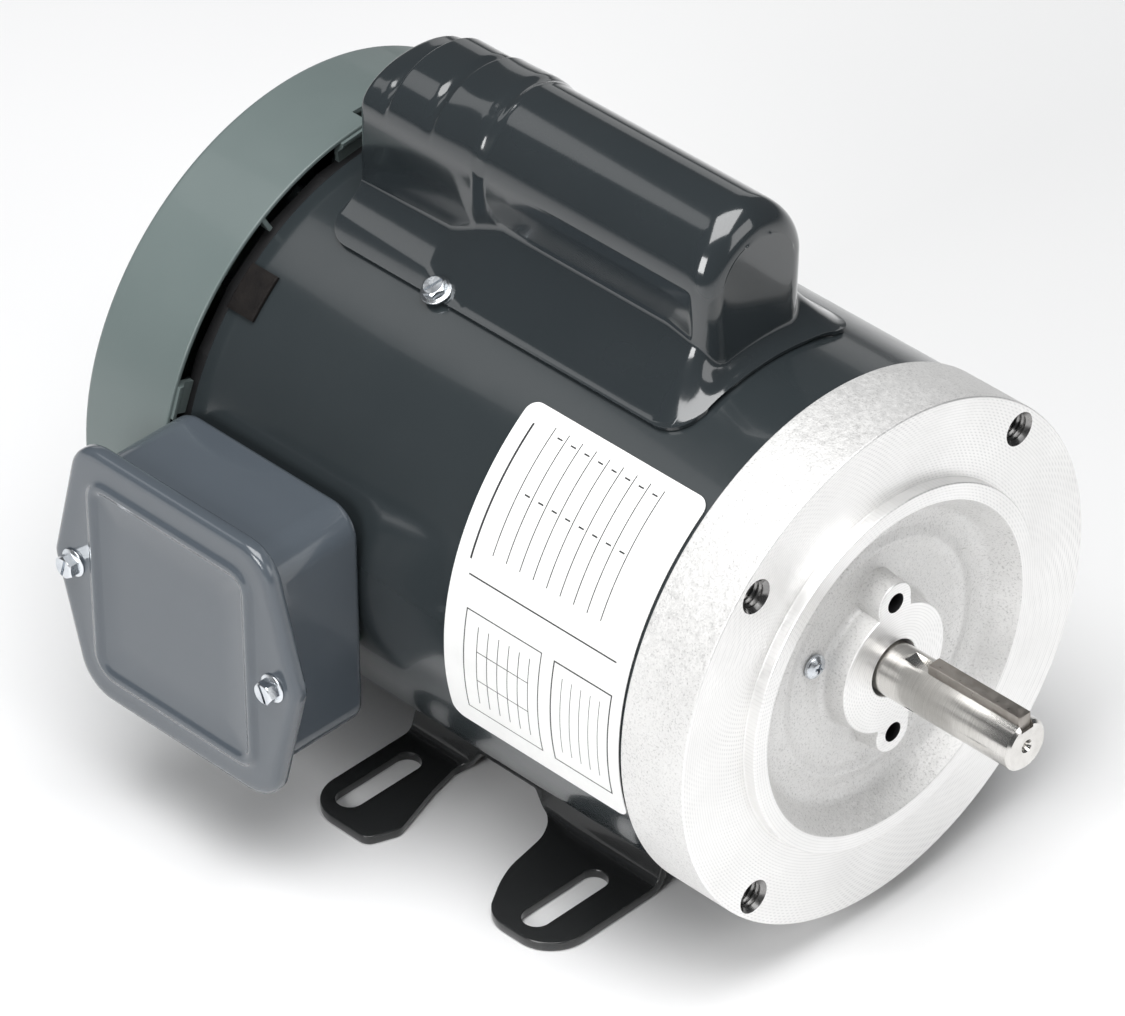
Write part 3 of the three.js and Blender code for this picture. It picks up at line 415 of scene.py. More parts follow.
def bump(tree, shader, layers):
    """Stacks bump layers, each (height socket, distance in metres)."""
    last = None
    for height, depth in layers:
        node = tree.nodes.new("ShaderNodeBump")
        node.inputs["Strength"].default_value = 1.0
        node.inputs["Distance"].default_value = depth
        tree.links.new(height, node.inputs["Height"])
        if last is not None:
            tree.links.new(last, node.inputs["Normal"])
        last = node.outputs["Normal"]
    tree.links.new(last, shader.inputs["Normal"])


def start(name):
    material = bpy.data.materials.new(name)
    material.use_nodes = True
    tree = material.node_tree
    shader = tree.nodes["Principled BSDF"]
    coords = tree.nodes.new("ShaderNodeTexCoord").outputs["Object"]
    return material, tree, shader, coords


def dress(tree, shader, colour, rough, metallic=0.0):
    """Connects or sets a shader's colour, roughness and metalness."""
    for name, value in (("Base Color", colour), ("Roughness", rough), ("Metallic", metallic)):
        if isinstance(value, float):
            shader.inputs[name].default_value = value
        else:
            tree.links.new(value, shader.inputs[name])


BARE_METAL = (0.45, 0.45, 0.44)


def painted(name, colour, light, roughness, coat=0.0, peel=0.00002, wear=0.0):
    """Sprayed enamel: slight colour drift, orange peel, dust specks and thin paint on edges."""
    material, tree, shader, coords = start(name)
    base = mix_colour(tree, colour, light, patches(tree, coords, 22, 4, 0.2, 0.8))
    specks = patches(tree, coords, 2600, 1, 0.76, 0.8, 0, 0.08)
    base = mix_colour(tree, base, tuple(min(1, c * 4 + 0.1) for c in colour), specks)
    metallic = 0.0
    if wear > 0:
        worn = maths(tree, "MULTIPLY", patches(tree, coords, 160, 4, 0.42, 0.62), wear)
        mask = maths(tree, "MULTIPLY", edge_mask(tree, 0.0005), worn)
        base = mix_colour(tree, base, BARE_METAL, mask)
        metallic = maths(tree, "MULTIPLY", mask, 0.8)
    rough = patches(tree, coords, 60, 2, 0.2, 0.8, roughness * 0.85, roughness * 1.2)
    dress(tree, shader, base, rough, metallic)
    shader.inputs["Coat Weight"].default_value = coat
    shader.inputs["Coat Roughness"].default_value = 0.06
    bump(tree, shader, ((noise(tree, coords, 420, 2), peel), (noise(tree, coords, 90, 2), peel * 3)))
    return material


def metal(name, colour, dark, roughness, grain=900, depth=0.00001, wear=0.0):
    """Plated or plain metal: fine grain, smears in the finish and darker patches."""
    material, tree, shader, coords = start(name)
    base = mix_colour(tree, colour, dark, patches(tree, coords, 140, 5, 0.45, 0.75))
    if wear > 0:
        bright = tuple(min(1, c * 1.5) for c in colour)
        base = mix_colour(tree, base, bright, maths(tree, "MULTIPLY", edge_mask(tree, 0.0003), wear))
    rough = patches(tree, coords, 350, 4, 0.3, 0.7, roughness * 0.7, roughness * 1.4)
    dress(tree, shader, base, rough, 1.0)
    bump(tree, shader, ((noise(tree, coords, grain, 3), depth),))
    return material


def plain(name, colour, other, roughness, scale=300, depth=0.00003):
    """Rubber, plastic, fibre: no metal, a little mottling and texture."""
    material, tree, shader, coords = start(name)
    base = mix_colour(tree, colour, other, patches(tree, coords, scale / 4, 4, 0.35, 0.7))
    rough = patches(tree, coords, scale, 3, 0.3, 0.7, roughness * 0.85, min(1, roughness * 1.15))
    dress(tree, shader, base, rough)
    shader.inputs["Specular IOR Level"].default_value = 0.2
    bump(tree, shader, ((noise(tree, coords, scale * 2, 3), depth),))
    return material


def axis_parts(tree, coords):
    """x, y, z and distance from the shaft axis, in metres."""
    split = tree.nodes.new("ShaderNodeSeparateXYZ")
    tree.links.new(coords, split.inputs[0])
    x, y, z = split.outputs
    return x, y, z, distance(tree, y, z)


def cast_aluminium(name):
    """Sand-cast skin: pale grey with darker pores and a grainy surface."""
    material, tree, shader, coords = start(name)
    pores = remap(tree, noise(tree, coords, 1500, 4, 0.7), 0.52, 0.7, 0, 1)
    base = mix_colour(tree, (0.74, 0.735, 0.725), (0.45, 0.445, 0.44), pores)
    clouds = patches(tree, coords, 50, 4, 0.4, 0.75, 0, 0.45)
    base = mix_colour(tree, base, (0.86, 0.855, 0.845), clouds)
    dress(tree, shader, base, patches(tree, coords, 600, 4, 0.3, 0.7, 0.42, 0.68), 0.55)
    bump(tree, shader, (
        (noise(tree, coords, 1300, 3, 0.7), 0.00012),
        (noise(tree, coords, 260, 3), 0.00015),
    ))
    return material


def machined_aluminium(name):
    """Faced on a lathe: bright, with tool rings about the shaft and fine sweeping arcs across them."""
    material, tree, shader, coords = start(name)
    _, y, z, radius = axis_parts(tree, coords)
    arcs = waves(tree, distance(tree, y, z, -0.05, 0.03), 0.0013)
    arcs = maths(tree, "MULTIPLY", arcs, patches(tree, coords, 30, 3, 0.4, 0.62))
    wave = maths(tree, "ADD", waves(tree, radius, 0.0009), arcs)
    cloud = patches(tree, coords, 26, 4, 0.35, 0.7)
    base = mix_colour(tree, (0.93, 0.925, 0.915), (0.84, 0.835, 0.825), cloud)
    base = mix_colour(tree, base, (0.58, 0.58, 0.58), remap(tree, wave, 0.2, 1.8, 0, 0.55))
    dress(tree, shader, base, patches(tree, coords, 400, 4, 0.3, 0.7, 0.3, 0.48), 0.75)
    bump(tree, shader, ((wave, 0.000006), (noise(tree, coords, 900, 3), 0.00003)))
    return material


def ground_steel(name):
    """Ground bar: bright, with fine rings round it."""
    material, tree, shader, coords = start(name)
    stretch = tree.nodes.new("ShaderNodeMapping")
    stretch.inputs["Scale"].default_value = (1, 0.02, 0.02)
    tree.links.new(coords, stretch.inputs["Vector"])
    lines = noise(tree, stretch.outputs[0], 5200, 3, 0.7)
    base = mix_colour(tree, (0.72, 0.705, 0.68), (0.6, 0.585, 0.56), remap(tree, lines, 0.4, 0.65, 0, 1))
    base = mix_colour(tree, base, (0.3, 0.27, 0.23), patches(tree, coords, 120, 4, 0.55, 0.75, 0, 0.2))
    dress(tree, shader, base, remap(tree, lines, 0.3, 0.7, 0.13, 0.22), 1.0)
    bump(tree, shader, ((lines, 0.000004),))
    return material


def wound_copper(name, colour, dark):
    """Bundled enamelled wire, with darker varnish in patches."""
    material, tree, shader, coords = start(name)
    x, _, _, radius = axis_parts(tree, coords)
    strands = waves(tree, maths(tree, "ADD", x, radius), 0.0016)
    base = mix_colour(tree, dark, colour, remap(tree, strands, -0.6, 0.6, 0, 1))
    base = mix_colour(tree, base, (0.2, 0.09, 0.03), patches(tree, coords, 160, 4, 0.5, 0.7, 0, 0.6))
    dress(tree, shader, base, 0.35, 0.6)
    bump(tree, shader, ((strands, 0.00025), (noise(tree, coords, 500, 3), 0.0001)))
    return material


def laminated(name, colour):
    """Edges of stacked steel sheets, with rust-brown patches."""
    material, tree, shader, coords = start(name)
    x = axis_parts(tree, coords)[0]
    sheets = waves(tree, x, 0.0007)
    base = mix_colour(tree, colour, tuple(c * 0.4 for c in colour), remap(tree, sheets, -0.2, 0.9, 0, 1))
    base = mix_colour(tree, base, (0.12, 0.07, 0.04), patches(tree, coords, 140, 4, 0.55, 0.75, 0, 0.5))
    dress(tree, shader, base, 0.45, 0.8)
    bump(tree, shader, ((sheets, 0.00008),))
    return material


def film(name, colour):
    """Printed film or its ink: almost even, very slightly uneven in gloss."""
    material, tree, shader, coords = start(name)
    base = mix_colour(tree, colour, tuple(c * 0.93 for c in colour), patches(tree, coords, 60, 4, 0.4, 0.7))
    rough = patches(tree, coords, 200, 3, 0.3, 0.7, 0.323, 0.456)
    dress(tree, shader, base, rough)
    bump(tree, shader, ((noise(tree, coords, 350, 2), 0.00001),))
    return material


FINISHES = {
    "slate_paint": (painted, (0.023, 0.029, 0.032), (0.028, 0.034, 0.037), 0.2, 0.35, 0.000012),
    "cover_paint": (painted, (0.019, 0.024, 0.027), (0.023, 0.028, 0.031), 0.12, 0.7, 0.000006, 0.08),
    "box_paint": (painted, (0.066, 0.079, 0.094), (0.076, 0.09, 0.106), 0.18, 0.45, 0.000012, 0.1),
    "fan_cover_paint": (painted, (0.116, 0.146, 0.143), (0.132, 0.164, 0.16), 0.39, 0.2, 0.000015),
    "black_paint": (painted, (0.018, 0.019, 0.0195), (0.024, 0.025, 0.0255), 0.2, 0.4, 0.00001),
    # Near-black, darker than any casting: painted shade. The drive end bell's blind boss holes are coloured
    # with it.
    "dark_casting": (painted, (0.007, 0.007, 0.008), (0.013, 0.013, 0.014), 0.55, 0, 0.0001),
    "cast_aluminium": (cast_aluminium,),
    "machined_aluminium": (machined_aluminium,),
    "ground_steel": (ground_steel,),
    "key_steel": (metal, (0.36, 0.335, 0.31), (0.22, 0.2, 0.18), 0.36, 700, 0.00002, 0.6),
    "zinc_plate": (metal, (0.72, 0.75, 0.78), (0.5, 0.53, 0.57), 0.22, 1200, 0.000012, 0.5),
    "thread_steel": (metal, (0.3, 0.295, 0.29), (0.14, 0.14, 0.14), 0.25, 1200, 0.00001),
    "spring_steel": (metal, (0.45, 0.45, 0.45), (0.25, 0.25, 0.26), 0.3),
    "brass": (metal, (0.6, 0.42, 0.14), (0.4, 0.26, 0.08), 0.3),
    "lamination_steel": (laminated, (0.24, 0.25, 0.27)),
    "enamelled_copper": (wound_copper, (0.5, 0.18, 0.06), (0.16, 0.05, 0.02)),
    "label_film": (film, (0.86, 0.86, 0.85)),
    "label_ink": (film, (0.03, 0.03, 0.032)),
    "rubber": (plain, (0.005, 0.004, 0.004), (0.011, 0.009, 0.008), 0.7, 700, 0.00015),
    "phenolic": (plain, (0.045, 0.024, 0.014), (0.065, 0.035, 0.02), 0.55),
    "black_plastic": (plain, (0.009, 0.009, 0.01), (0.015, 0.015, 0.016), 0.35),
    "lead_black": (plain, (0.012, 0.012, 0.013), (0.02, 0.02, 0.02), 0.45),
    "lead_white": (plain, (0.75, 0.74, 0.7), (0.62, 0.6, 0.55), 0.45),
    "ground_green": (painted, (0.028, 0.19, 0.05), (0.04, 0.24, 0.07), 0.3),
}
M = {name: make(name, *values) for name, (make, *values) in FINISHES.items()}

SLOT_OF = {row["node"]: row["material_slot"] for row in frame["record"]["subparts"]}
for node, obj in frame["nodes"].items():
    obj.data.materials.clear()
    obj.data.materials.append(M[SLOT_OF[node]])


def finish(obj, node, material, body="frame", weighted=True):
    """Gives a piece its body and, unless it has some, its material, and hides the CAD node it stands for."""
    if not obj.data.materials:
        obj.data.materials.append(M[material])
    if weighted:
        weight_normals(obj)
    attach(obj, body)
    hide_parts(node)


# ---------------------------------------------------------------- drive end bell

BELL_MATERIALS = ("cast_aluminium", "machined_aluminium", "thread_steel", "dark_casting")


def tapped_hole():
    """A threaded hole's outline, as (depth, radius) from its countersunk mouth down."""
    shape = [(1, 0), (1, 5.3), (0.02, 5.3), (-0.6, 4.75)]
    x = -0.6
    while x > -17:
        shape += [(x - TAP_PITCH * 0.42, 4.02), (x - TAP_PITCH * 0.58, 4.02), (x - TAP_PITCH, 4.75)]
        x -= TAP_PITCH
    return shape + [(x - 2, 4.0), (x - 4, 0)]


def bell_material(x, y, z, facing):
    """The finish of the bell's surface at a place, with painted shade in the boss holes; facing is how far
    it looks along the shaft.
    """
    r = math.hypot(y, z)
    taps = [polar(TAP_CIRCLE_R, degrees) for degrees in TAP_ANGLES]
    if x < -0.05 and min(math.hypot(y - tap_y, z - tap_z) for tap_y, tap_z in taps) < 5.25:
        return "thread_steel"
    # The bosses' blind holes are coloured near-black with dark_casting: painted shade, not the casting's own
    # colour.
    if x < 2.6 and math.hypot(y, abs(z) - BOSS_Z) < BOSS_HOLE_R + 0.05:
        return "dark_casting"
    mounting_face = facing > 0.5 and x > -0.75 and r > 52
    hub_face = x > 2.2 and r < 30
    pilot = x > -1 and abs(r - PILOT_R) < 0.25
    if mounting_face or hub_face or pilot:
        return "machined_aluminium"
    return "cast_aluminium"


def drive_end_bell():
    profile = fillet([
        (3, 8.8, 0.5), (3, 20.3, 0.5), (-5, 21.4, 2.2), (-5.1, 33.6, 4), (-4.2, 36.9, 2.6), (-5.1, 40.4, 4),
        (-5, 45.6, 5.5), (4, 51.9, 0.8), (4, PILOT_R, 0.5), (0, PILOT_R, 0.3), (0, BELL_R, 0.6),
        (-23.6, BELL_R, 0.5), (-23.6, 78.1), (-29.6, 78.1, 0.4), (-29.6, 70), (-10.5, 62, 2), (-10.5, 30, 2),
        (-24, 27), (-24, 20.1), (-7.6, 20.1), (-7.6, 8.8),
    ], turn=14)
    bell = lathe("drive_end_bell_fine", profile, 240)
    bosses = []
    for side in (-1, 1):
        shape = fillet([(-6, 0), (-6, 7.4), (-4.4, 7.0, 1.5), (3, 6.4, 0.5), (3, 0)], closed=False)
        bosses.append(spun(f"boss{side}", shape, (0, 0, side * BOSS_Z), (1, 0, 0), 48))
        web = [(-5.9, side * 14), (5.9, side * 14), (6.3, side * 21), (-6.3, side * 21)]
        bosses.append(slab(f"web{side}", web, "x", -6, 2.99))
    boolean(bell, bosses, "UNION")
    cutters = [slab("bore", [polar(8.8, k * 360 / 96) for k in range(96)], "x", -7, 3.5)]
    for side in (-1, 1):
        hole = [polar(BOSS_HOLE_R, k * 360 / 48) for k in range(48)]
        cutters.append(slab(f"blind{side}", [(y, z + side * BOSS_Z) for y, z in hole], "x", -4, 4))
    for degrees in TAP_ANGLES:
        centre = (0, *polar(TAP_CIRCLE_R, degrees))
        cutters.append(spun(f"tap{degrees}", tapped_hole(), centre, (1, 0, 0), 40))
    small = [(-9, 0), (-9, 1.9), (0, 1.9), (0, 0)]
    cutters.append(spun("tap_small", small, (0, *GROUND_SCREW), (1, 0, 0), 20))
    boolean(bell, cutters)
    pads = []
    for degrees in (22, 112, 158, 292):
        centre = (0, *polar(38.5, degrees))
        pin = [(-6, 0), (-6, 3.3), (-4.86, 3.1), (-4.82, 2.9), (-4.82, 0)]
        pads.append(spun(f"pin{degrees}", pin, centre, (1, 0, 0), 32))
    boolean(bell, pads, "UNION")
    for name in BELL_MATERIALS:
        bell.data.materials.append(M[name])
    for polygon in bell.data.polygons:
        x, y, z = (part * 1000 for part in polygon.center)
        name = bell_material(x - FACE, y, z, polygon.normal.x)
        polygon.material_index = BELL_MATERIALS.index(name)
    finish(bell, "drive_end_bell", "cast_aluminium")


# ---------------------------------------------------------------- shell, fan cover, pad

def motor_shell():
    inner = BODY_R - BODY_T
    profile = fillet([
        (BODY_REAR, inner), (BODY_REAR, BODY_R, 0.4), (BODY_FRONT, BODY_R, 0.4), (BODY_FRONT, inner),
    ])
    shell = lathe("motor_shell_fine", profile, 256)
    lead_hole = [(60, 0), (60, 9), (90, 9), (90, 0)]
    boolean(shell, [spun("lead_hole", lead_hole, (BOX_X, 0, 0), (0, -1, 0), 32)])
    finish(shell, "motor_shell", "slate_paint")


def strip(name, path, angle, half_width, thickness):
    """A bent tab: (x, radius) path in the plane at an angle, with a width across it."""
    loops = []
    way = math.radians(angle)
    for i, (x, r) in enumerate(path):
        before = path[max(i - 1, 0)]
        after = path[min(i + 1, len(path) - 1)]
        tangent = Vector((after[0] - before[0], after[1] - before[1])).normalized()
        normal = Vector((-tangent.y, tangent.x))
        loop = []
        for side, depth in ((-1, 0), (1, 0), (1, 1), (-1, 1)):
            px = x + normal.x * thickness * depth
            pr = r + normal.y * thickness * depth
            y = pr * math.cos(way) - side * half_width * math.sin(way)
            z = pr * math.sin(way) + side * half_width * math.cos(way)
            loop.append((px, y, z))
        loops.append(loop)
    return rings(name, loops)


def fan_cover():
    inner = COVER_R - SHEET
    rear = COVER_REAR
    profile = fillet([
        (COVER_FRONT, inner, 0.5), (COVER_FRONT, COVER_R, 0.5), (rear, COVER_R, 1.9), (rear, 0),
        (rear + SHEET, 0), (rear + SHEET, inner, 0.6),
    ], turn=9)
    cover = lathe("fan_cover_fine", profile, 256)
    cutters = []
    vent = fillet([(14, -1.8, 1.6), (36, -4.5, 3.8), (36, 4.5, 3.8), (14, 1.8, 1.6)], turn=20)
    for k in range(VENTS):
        points = turned_about_shaft(vent, 2 * math.pi * k / VENTS)
        cutters.append(slab(f"vent{k}", points, "x", rear - 1, rear + 3))
    notch = [polar(84, 86.2), polar(92, 86.2), polar(92, 89), polar(92, 92), polar(84, 92), polar(84, 89)]
    cutters.append(slab("notch", notch, "x", -207.2, COVER_FRONT + 1))
    boolean(cover, [merged(cutters, "cuts")])
    bend = fillet([
        (-201.2, inner + 0.2), (-201.2, inner - 0.6, 1.6), (-203.9, 83, 2.5), (-204.2, 68),
    ], closed=False, turn=15)
    tabs = [strip(f"tab{a}", bend, a, 5, SHEET) for a in TAB_ANGLES]
    rib = [(81.2, -0.7), (87, -0.7), (87, 0.7), (81.2, 0.7)]
    tabs.append(slab("rib", turned_about_shaft(rib, math.radians(121)), "x", -204, COVER_FRONT - 0.1))
    boolean(cover, tabs, "UNION")
    finish(cover, "fan_cover", "fan_cover_paint")


def pad():
    """A small rubber sheet on the shell, its face slightly sunk between raised edges."""
    loops = []
    rear, front = -199.3, -188.8
    for x, lift in (
        (rear, 0.35), (rear, 1.3), (rear + 0.4, 1.65), (front - 0.4, 1.65), (front, 1.3), (front, 0.35),
    ):
        loop = []
        for k in range(25):
            degrees = 128.6 + (138.9 - 128.6) * k / 24
            edge = min(k, 24 - k)
            sag = 0.4 * (1 - ease(edge / 2)) if lift > 1.3 else 0
            y, z = polar(BODY_R + lift - sag, degrees)
            loop.append((x, y, z))
        loops.append(loop)
    sheet = []
    for loop in loops:
        under = [(x, *(Vector((y, z)).normalized() * (BODY_R + 0.33))) for x, y, z in reversed(loop)]
        sheet.append(loop + under)
    piece = rings("anti_rattle_pad_fine", sheet)
    finish(piece, "anti_rattle_pad", "rubber")


# ---------------------------------------------------------------- capacitor cover

FLANGE_R = BODY_R + 1.72
ARCH_Z = 108.5
CAP_FRONT, CAP_REAR = -50.0, -185.2
CAP_CORNER = 7.0
CAP_CORE = CAP_FRONT - CAP_CORNER    # where the front corners' turn starts
CAP_LEAN = 11.0
CAP_FLANGE_REAR, CAP_FLANGE_FRONT = -186.5, -45.0
CAP_FLANGE_HALF = 36.2


def cap_top(x):
    """Height of the cover's spine: two grooved risers at the rear, then the long, higher front part."""
    top = 120.0 - 0.5 * ease((-177 - x) / 8)
    top += 4.7 * ease((x + 175.6) / 2.0)
    top += 2.0 * ease((x + 157.4) / 1.8)
    top += 0.9 * ease((x + 155) / 16)
    top += 0.9 * ease((x + 138.4) / 2.4)
    for groove, depth in ((-176.4, 0.7), (-158.9, 0.7), (-139.4, 0.4)):
        top -= depth * ease(1 - abs(x - groove) / 3.2)
    return top


def cap_wide(x):
    """Half-width where the arch springs from the walls."""
    return 20.9 - 0.7 * ease((x + 141.0) / 5.5)


def cap_inset(x):
    """How far the arch's shoulders draw in, forward of the rear part."""
    return 1.1 * ease((x + 139.5) / 4.5)


def cap_foot(x):
    """Half-width at the foot of the walls, with a kink between the rear and the front part."""
    return stripe(x, [(-186, 20.6), (-139.5, 20.6), (-131, 19.6), (-45, 19.6)])


def cap_waist(x, t):
    """Half-width of the wall at height fraction t; its kink leans back towards the arch."""
    return cap_foot(x + CAP_LEAN * t) if x <= CAP_CORE else cap_plan(x)


def cap_skin(y):
    return math.sqrt(max(FLANGE_R ** 2 - y * y, 1))


def cap_plan(x):
    """Half-width of the walls' footprint, with its rounded front corners."""
    into = max(0.0, x - CAP_CORE)
    return cap_foot(x) - CAP_CORNER + math.sqrt(max(CAP_CORNER ** 2 - into ** 2, 0))


def cap_sweep(x, y):
    """Width and height of the sweep from flange to wall: broad at the sides, tight in front."""
    width = stripe(x, [(-186, 8.5), (-150, 9.5), (-130, 16), (-45, 16)])
    height = stripe(x, [(-186, 5.5), (-150, 6.5), (-130, 14.5), (-66, 14.5), (-57, 12.5), (-45, 12.5)])
    if x <= CAP_CORE:
        return width, height
    side = max(0.0, abs(y) - (cap_foot(x) - CAP_CORNER))
    share = ease(math.atan2(side, x - CAP_CORE) / (math.pi / 2))
    return 4.9 + (width - 4.9) * share, 5.2 + (height - 5.2) * share


def cap_apron(x, y):
    """The flange's surface outside the footprint, rising in a sweep to meet the walls."""
    if x > CAP_CORE:
        side = max(0.0, abs(y) - (cap_foot(x) - CAP_CORNER))
        away = math.hypot(x - CAP_CORE, side) - CAP_CORNER
    else:
        away = abs(y) - cap_foot(x)
    width, height = cap_sweep(x, y)
    t = 1 - min(max(away / width, 0.0), 1.0)
    tight = 1 - math.sqrt(max(1 - t ** 1.35, 0))
    deep = 0.8 * t ** 1.25 + 0.2 * (1 - math.sqrt(max(1 - t ** 4, 0)))
    return cap_skin(y) + height * (tight + (deep - tight) * ease((height - 6.0) / 5))


def cap_section(x, flange, top=None, wide=None, spring=ARCH_Z):
    """Points across the cover at x: flange, sweep, wall, arch, wall, sweep, flange."""
    foot = cap_plan(x) if x <= CAP_FRONT else cap_foot(x) - CAP_CORNER
    root = min(cap_sweep(x, foot + 5)[0], flange - foot - 0.5)
    half = []
    for k in range(9):
        half.append(flange + (foot + root - flange) * k / 8)
    for k in range(1, 15):
        half.append(foot + root * (1 - math.sin(math.pi / 2 * k / 14)))
    half = [(y, cap_apron(x, y)) for y in half]
    y0, z0 = half[-1]
    if top is None:
        for k in range(1, 35):
            y = y0 * (1 - k / 34)
            half.append((y, cap_apron(x, y)))
    else:
        for k in range(1, 11):
            t = k / 10
            waist = cap_waist(x, t)
            half.append((waist + (wide - waist) * ease(t), z0 + (spring - z0) * t))
        for k in range(1, 25):
            a = math.pi / 2 * k / 24
            draw = cap_inset(x) * math.sin(2 * a) if wide > 14.5 else 0.0
            half.append(((wide - draw) * math.cos(a), spring + (top - spring - draw) * math.sin(a)))
    left = [(-y, z) for y, z in half]
    return left + list(reversed(half[:-1]))


def cap_flange(x):
    """Half-width of the flange, with its rounded corners."""
    corner = 10.0
    half = CAP_FLANGE_HALF
    for end, way in ((CAP_FLANGE_FRONT, 1), (CAP_FLANGE_REAR, -1)):
        into = (x - (end - way * corner)) * way
        if into > 0:
            half = CAP_FLANGE_HALF - corner + math.sqrt(max(corner ** 2 - min(into, corner) ** 2, 0))
    return half


def capacitor_cover():
    loops = []

    def station(x, **shape):
        loops.append([(x, y, z) for y, z in cap_section(x, cap_flange(x), **shape)])

    for k in range(3):
        x = CAP_FLANGE_REAR + 0.6 * k
        loops.append([(x, y, min(z, cap_skin(y))) for y, z in cap_section(x, cap_flange(x))])
    for k in range(9):
        s = math.cos(math.pi / 2 * k / 8)
        drop = 1.7 * (1 - math.sqrt(max(1 - s * s, 0)))
        x = CAP_REAR + 1.7 * (1 - s)
        station(x, top=cap_top(x) - drop, wide=cap_wide(x) - drop)
    x = CAP_REAR + 2.0
    while x < CAP_FRONT - 10.2:
        station(x, top=cap_top(x), wide=cap_wide(x))
        x += 0.35 if -180 < x < -172.6 or -162 < x < -154 or -143 < x < -134 else 0.75
    for k in range(21):
        s = math.sin(math.pi / 2 * k / 20)
        x = CAP_FRONT - 9.5 * (1 - s)
        drop = 9.5 * (1 - math.sqrt(max(1 - s * s, 0)))
        turn = max(0.0, x - CAP_CORE)
        side = 6.6 * (1 - math.sqrt(max(1 - (turn / CAP_CORNER) ** 2, 0)))
        station(x, top=cap_top(x) - drop, wide=cap_wide(x) - side, spring=ARCH_Z - drop * 0.25)
    for k in range(9):
        station(CAP_FRONT + 0.001 + 4.998 * (k / 8) ** 1.6)
    cover = rings("capacitor_cover_fine", loops, cap=False, closed=False, smooth_angle=60)
    thicken(cover, COVER_SHEET, 50)
    tidy(cover, 50)
    finish(cover, "capacitor_cover", "cover_paint", weighted=False)


# ---------------------------------------------------------------- conduit box

# Steps of the cover's edge, as (inset, depth), and of its raised bead, as (half-width, lift), in mm.
COVER_EDGE = (
    (1.6, 5.0), (0.35, 5.0), (0.0, 4.4), (0.0, 2.0), (0.25, 1.1), (0.85, 0.42), (1.7, 0.08), (2.8, 0.0),
    (4.5, 0.0),
)
COVER_BEAD = (
    (35.2, 0.0), (34.6, 0.12), (33.9, 0.5), (33.3, 0.95), (32.7, 1.18), (32.0, 1.2), (31.3, 1.02),
    (30.6, 0.6), (30.0, 0.2), (29.3, 0.0),
)
BOX_BACK = -80.3
COVER_POINTS = 288


def round_rect(cx, cz, half_w, half_h, radius, steps=8):
    points = []
    for sx, sz, begin in ((1, 1, 0), (-1, 1, 90), (-1, -1, 180), (1, -1, 270)):
        for k in range(steps + 1):
            dx, dz = polar(radius, begin + 90 * k / steps)
            points.append((cx + sx * (half_w - radius) + dx, cz + sz * (half_h - radius) + dz))
    return points


def star_samples(outline, cx, cz, count):
    """The outline sampled at even angles about its middle."""
    points = []
    for k in range(count):
        angle = 2 * math.pi * k / count
        way = Vector((math.cos(angle), math.sin(angle)))
        best = 0
        for (ax, az), (bx, bz) in zip(outline, outline[1:] + outline[:1]):
            a = Vector((ax - cx, az - cz))
            edge = Vector((bx - ax, bz - az))
            det = way.x * -edge.y + way.y * edge.x
            if abs(det) < 1e-9:
                continue
            t = (a.x * -edge.y + a.y * edge.x) / det
            s = (way.x * a.y - way.y * a.x) / det
            if t > 0 and -1e-6 <= s <= 1 + 1e-6:
                best = max(best, t)
        points.append((cx + way.x * best, cz + way.y * best))
    return points


def eared(inset):
    """The conduit box cover's outline, a rectangle with an ear for a screw at each end."""
    ear, w, h = 50.1 - inset, 38.75 - inset, 44 - inset
    tip, radius = 5, 12
    return fillet([
        (BOX_X + ear, BOX_Z, tip), (BOX_X + w, BOX_Z + h, radius), (BOX_X - w, BOX_Z + h, radius),
        (BOX_X - ear, BOX_Z, tip), (BOX_X - w, BOX_Z - h, radius), (BOX_X + w, BOX_Z - h, radius),
    ], turn=8)


def cover_loop(outline, y):
    """An outline of the cover as a loop of evenly spread points at y."""
    return [(x, y, z) for x, z in star_samples(outline, BOX_X, BOX_Z, COVER_POINTS)]


def conduit_cover():
    loops = [cover_loop(eared(inset), COVER_FACE + depth) for inset, depth in COVER_EDGE]
    for half, lift in COVER_BEAD:
        radius = max(3, 9 - (COVER_BEAD[0][0] - half))
        outline = round_rect(BOX_X, BOX_Z, half - 0.4, half + 1.2, radius)
        loops.append(cover_loop(outline, COVER_FACE - lift))
    for half in (20, 8):
        loops.append(cover_loop(round_rect(BOX_X, BOX_Z, half, half, half * 0.3), COVER_FACE))
    loops.append([(BOX_X, COVER_FACE, BOX_Z)] * COVER_POINTS)
    cover = rings("conduit_box_cover_fine", loops, cap=False, smooth_angle=60)
    thicken(cover, COVER_SHEET, 60)
    tidy(cover, 60)
    finish(cover, "conduit_box_cover", "box_paint", weighted=False)


def close_back(obj):
    """Closes the conduit box's skin with one face across its back."""
    work = bmesh.new()
    work.from_mesh(obj.data)
    middle = at(BOX_X, BOX_BACK, BOX_Z)
    rim = [v for v in work.verts if abs(v.co.y - middle.y) < 1e-6]
    rim.sort(key=lambda v: math.atan2(v.co.z - middle.z, v.co.x - middle.x))
    work.faces.new(rim)
    bmesh.ops.recalc_face_normals(work, faces=work.faces)
    work.to_mesh(obj.data)
    work.free()


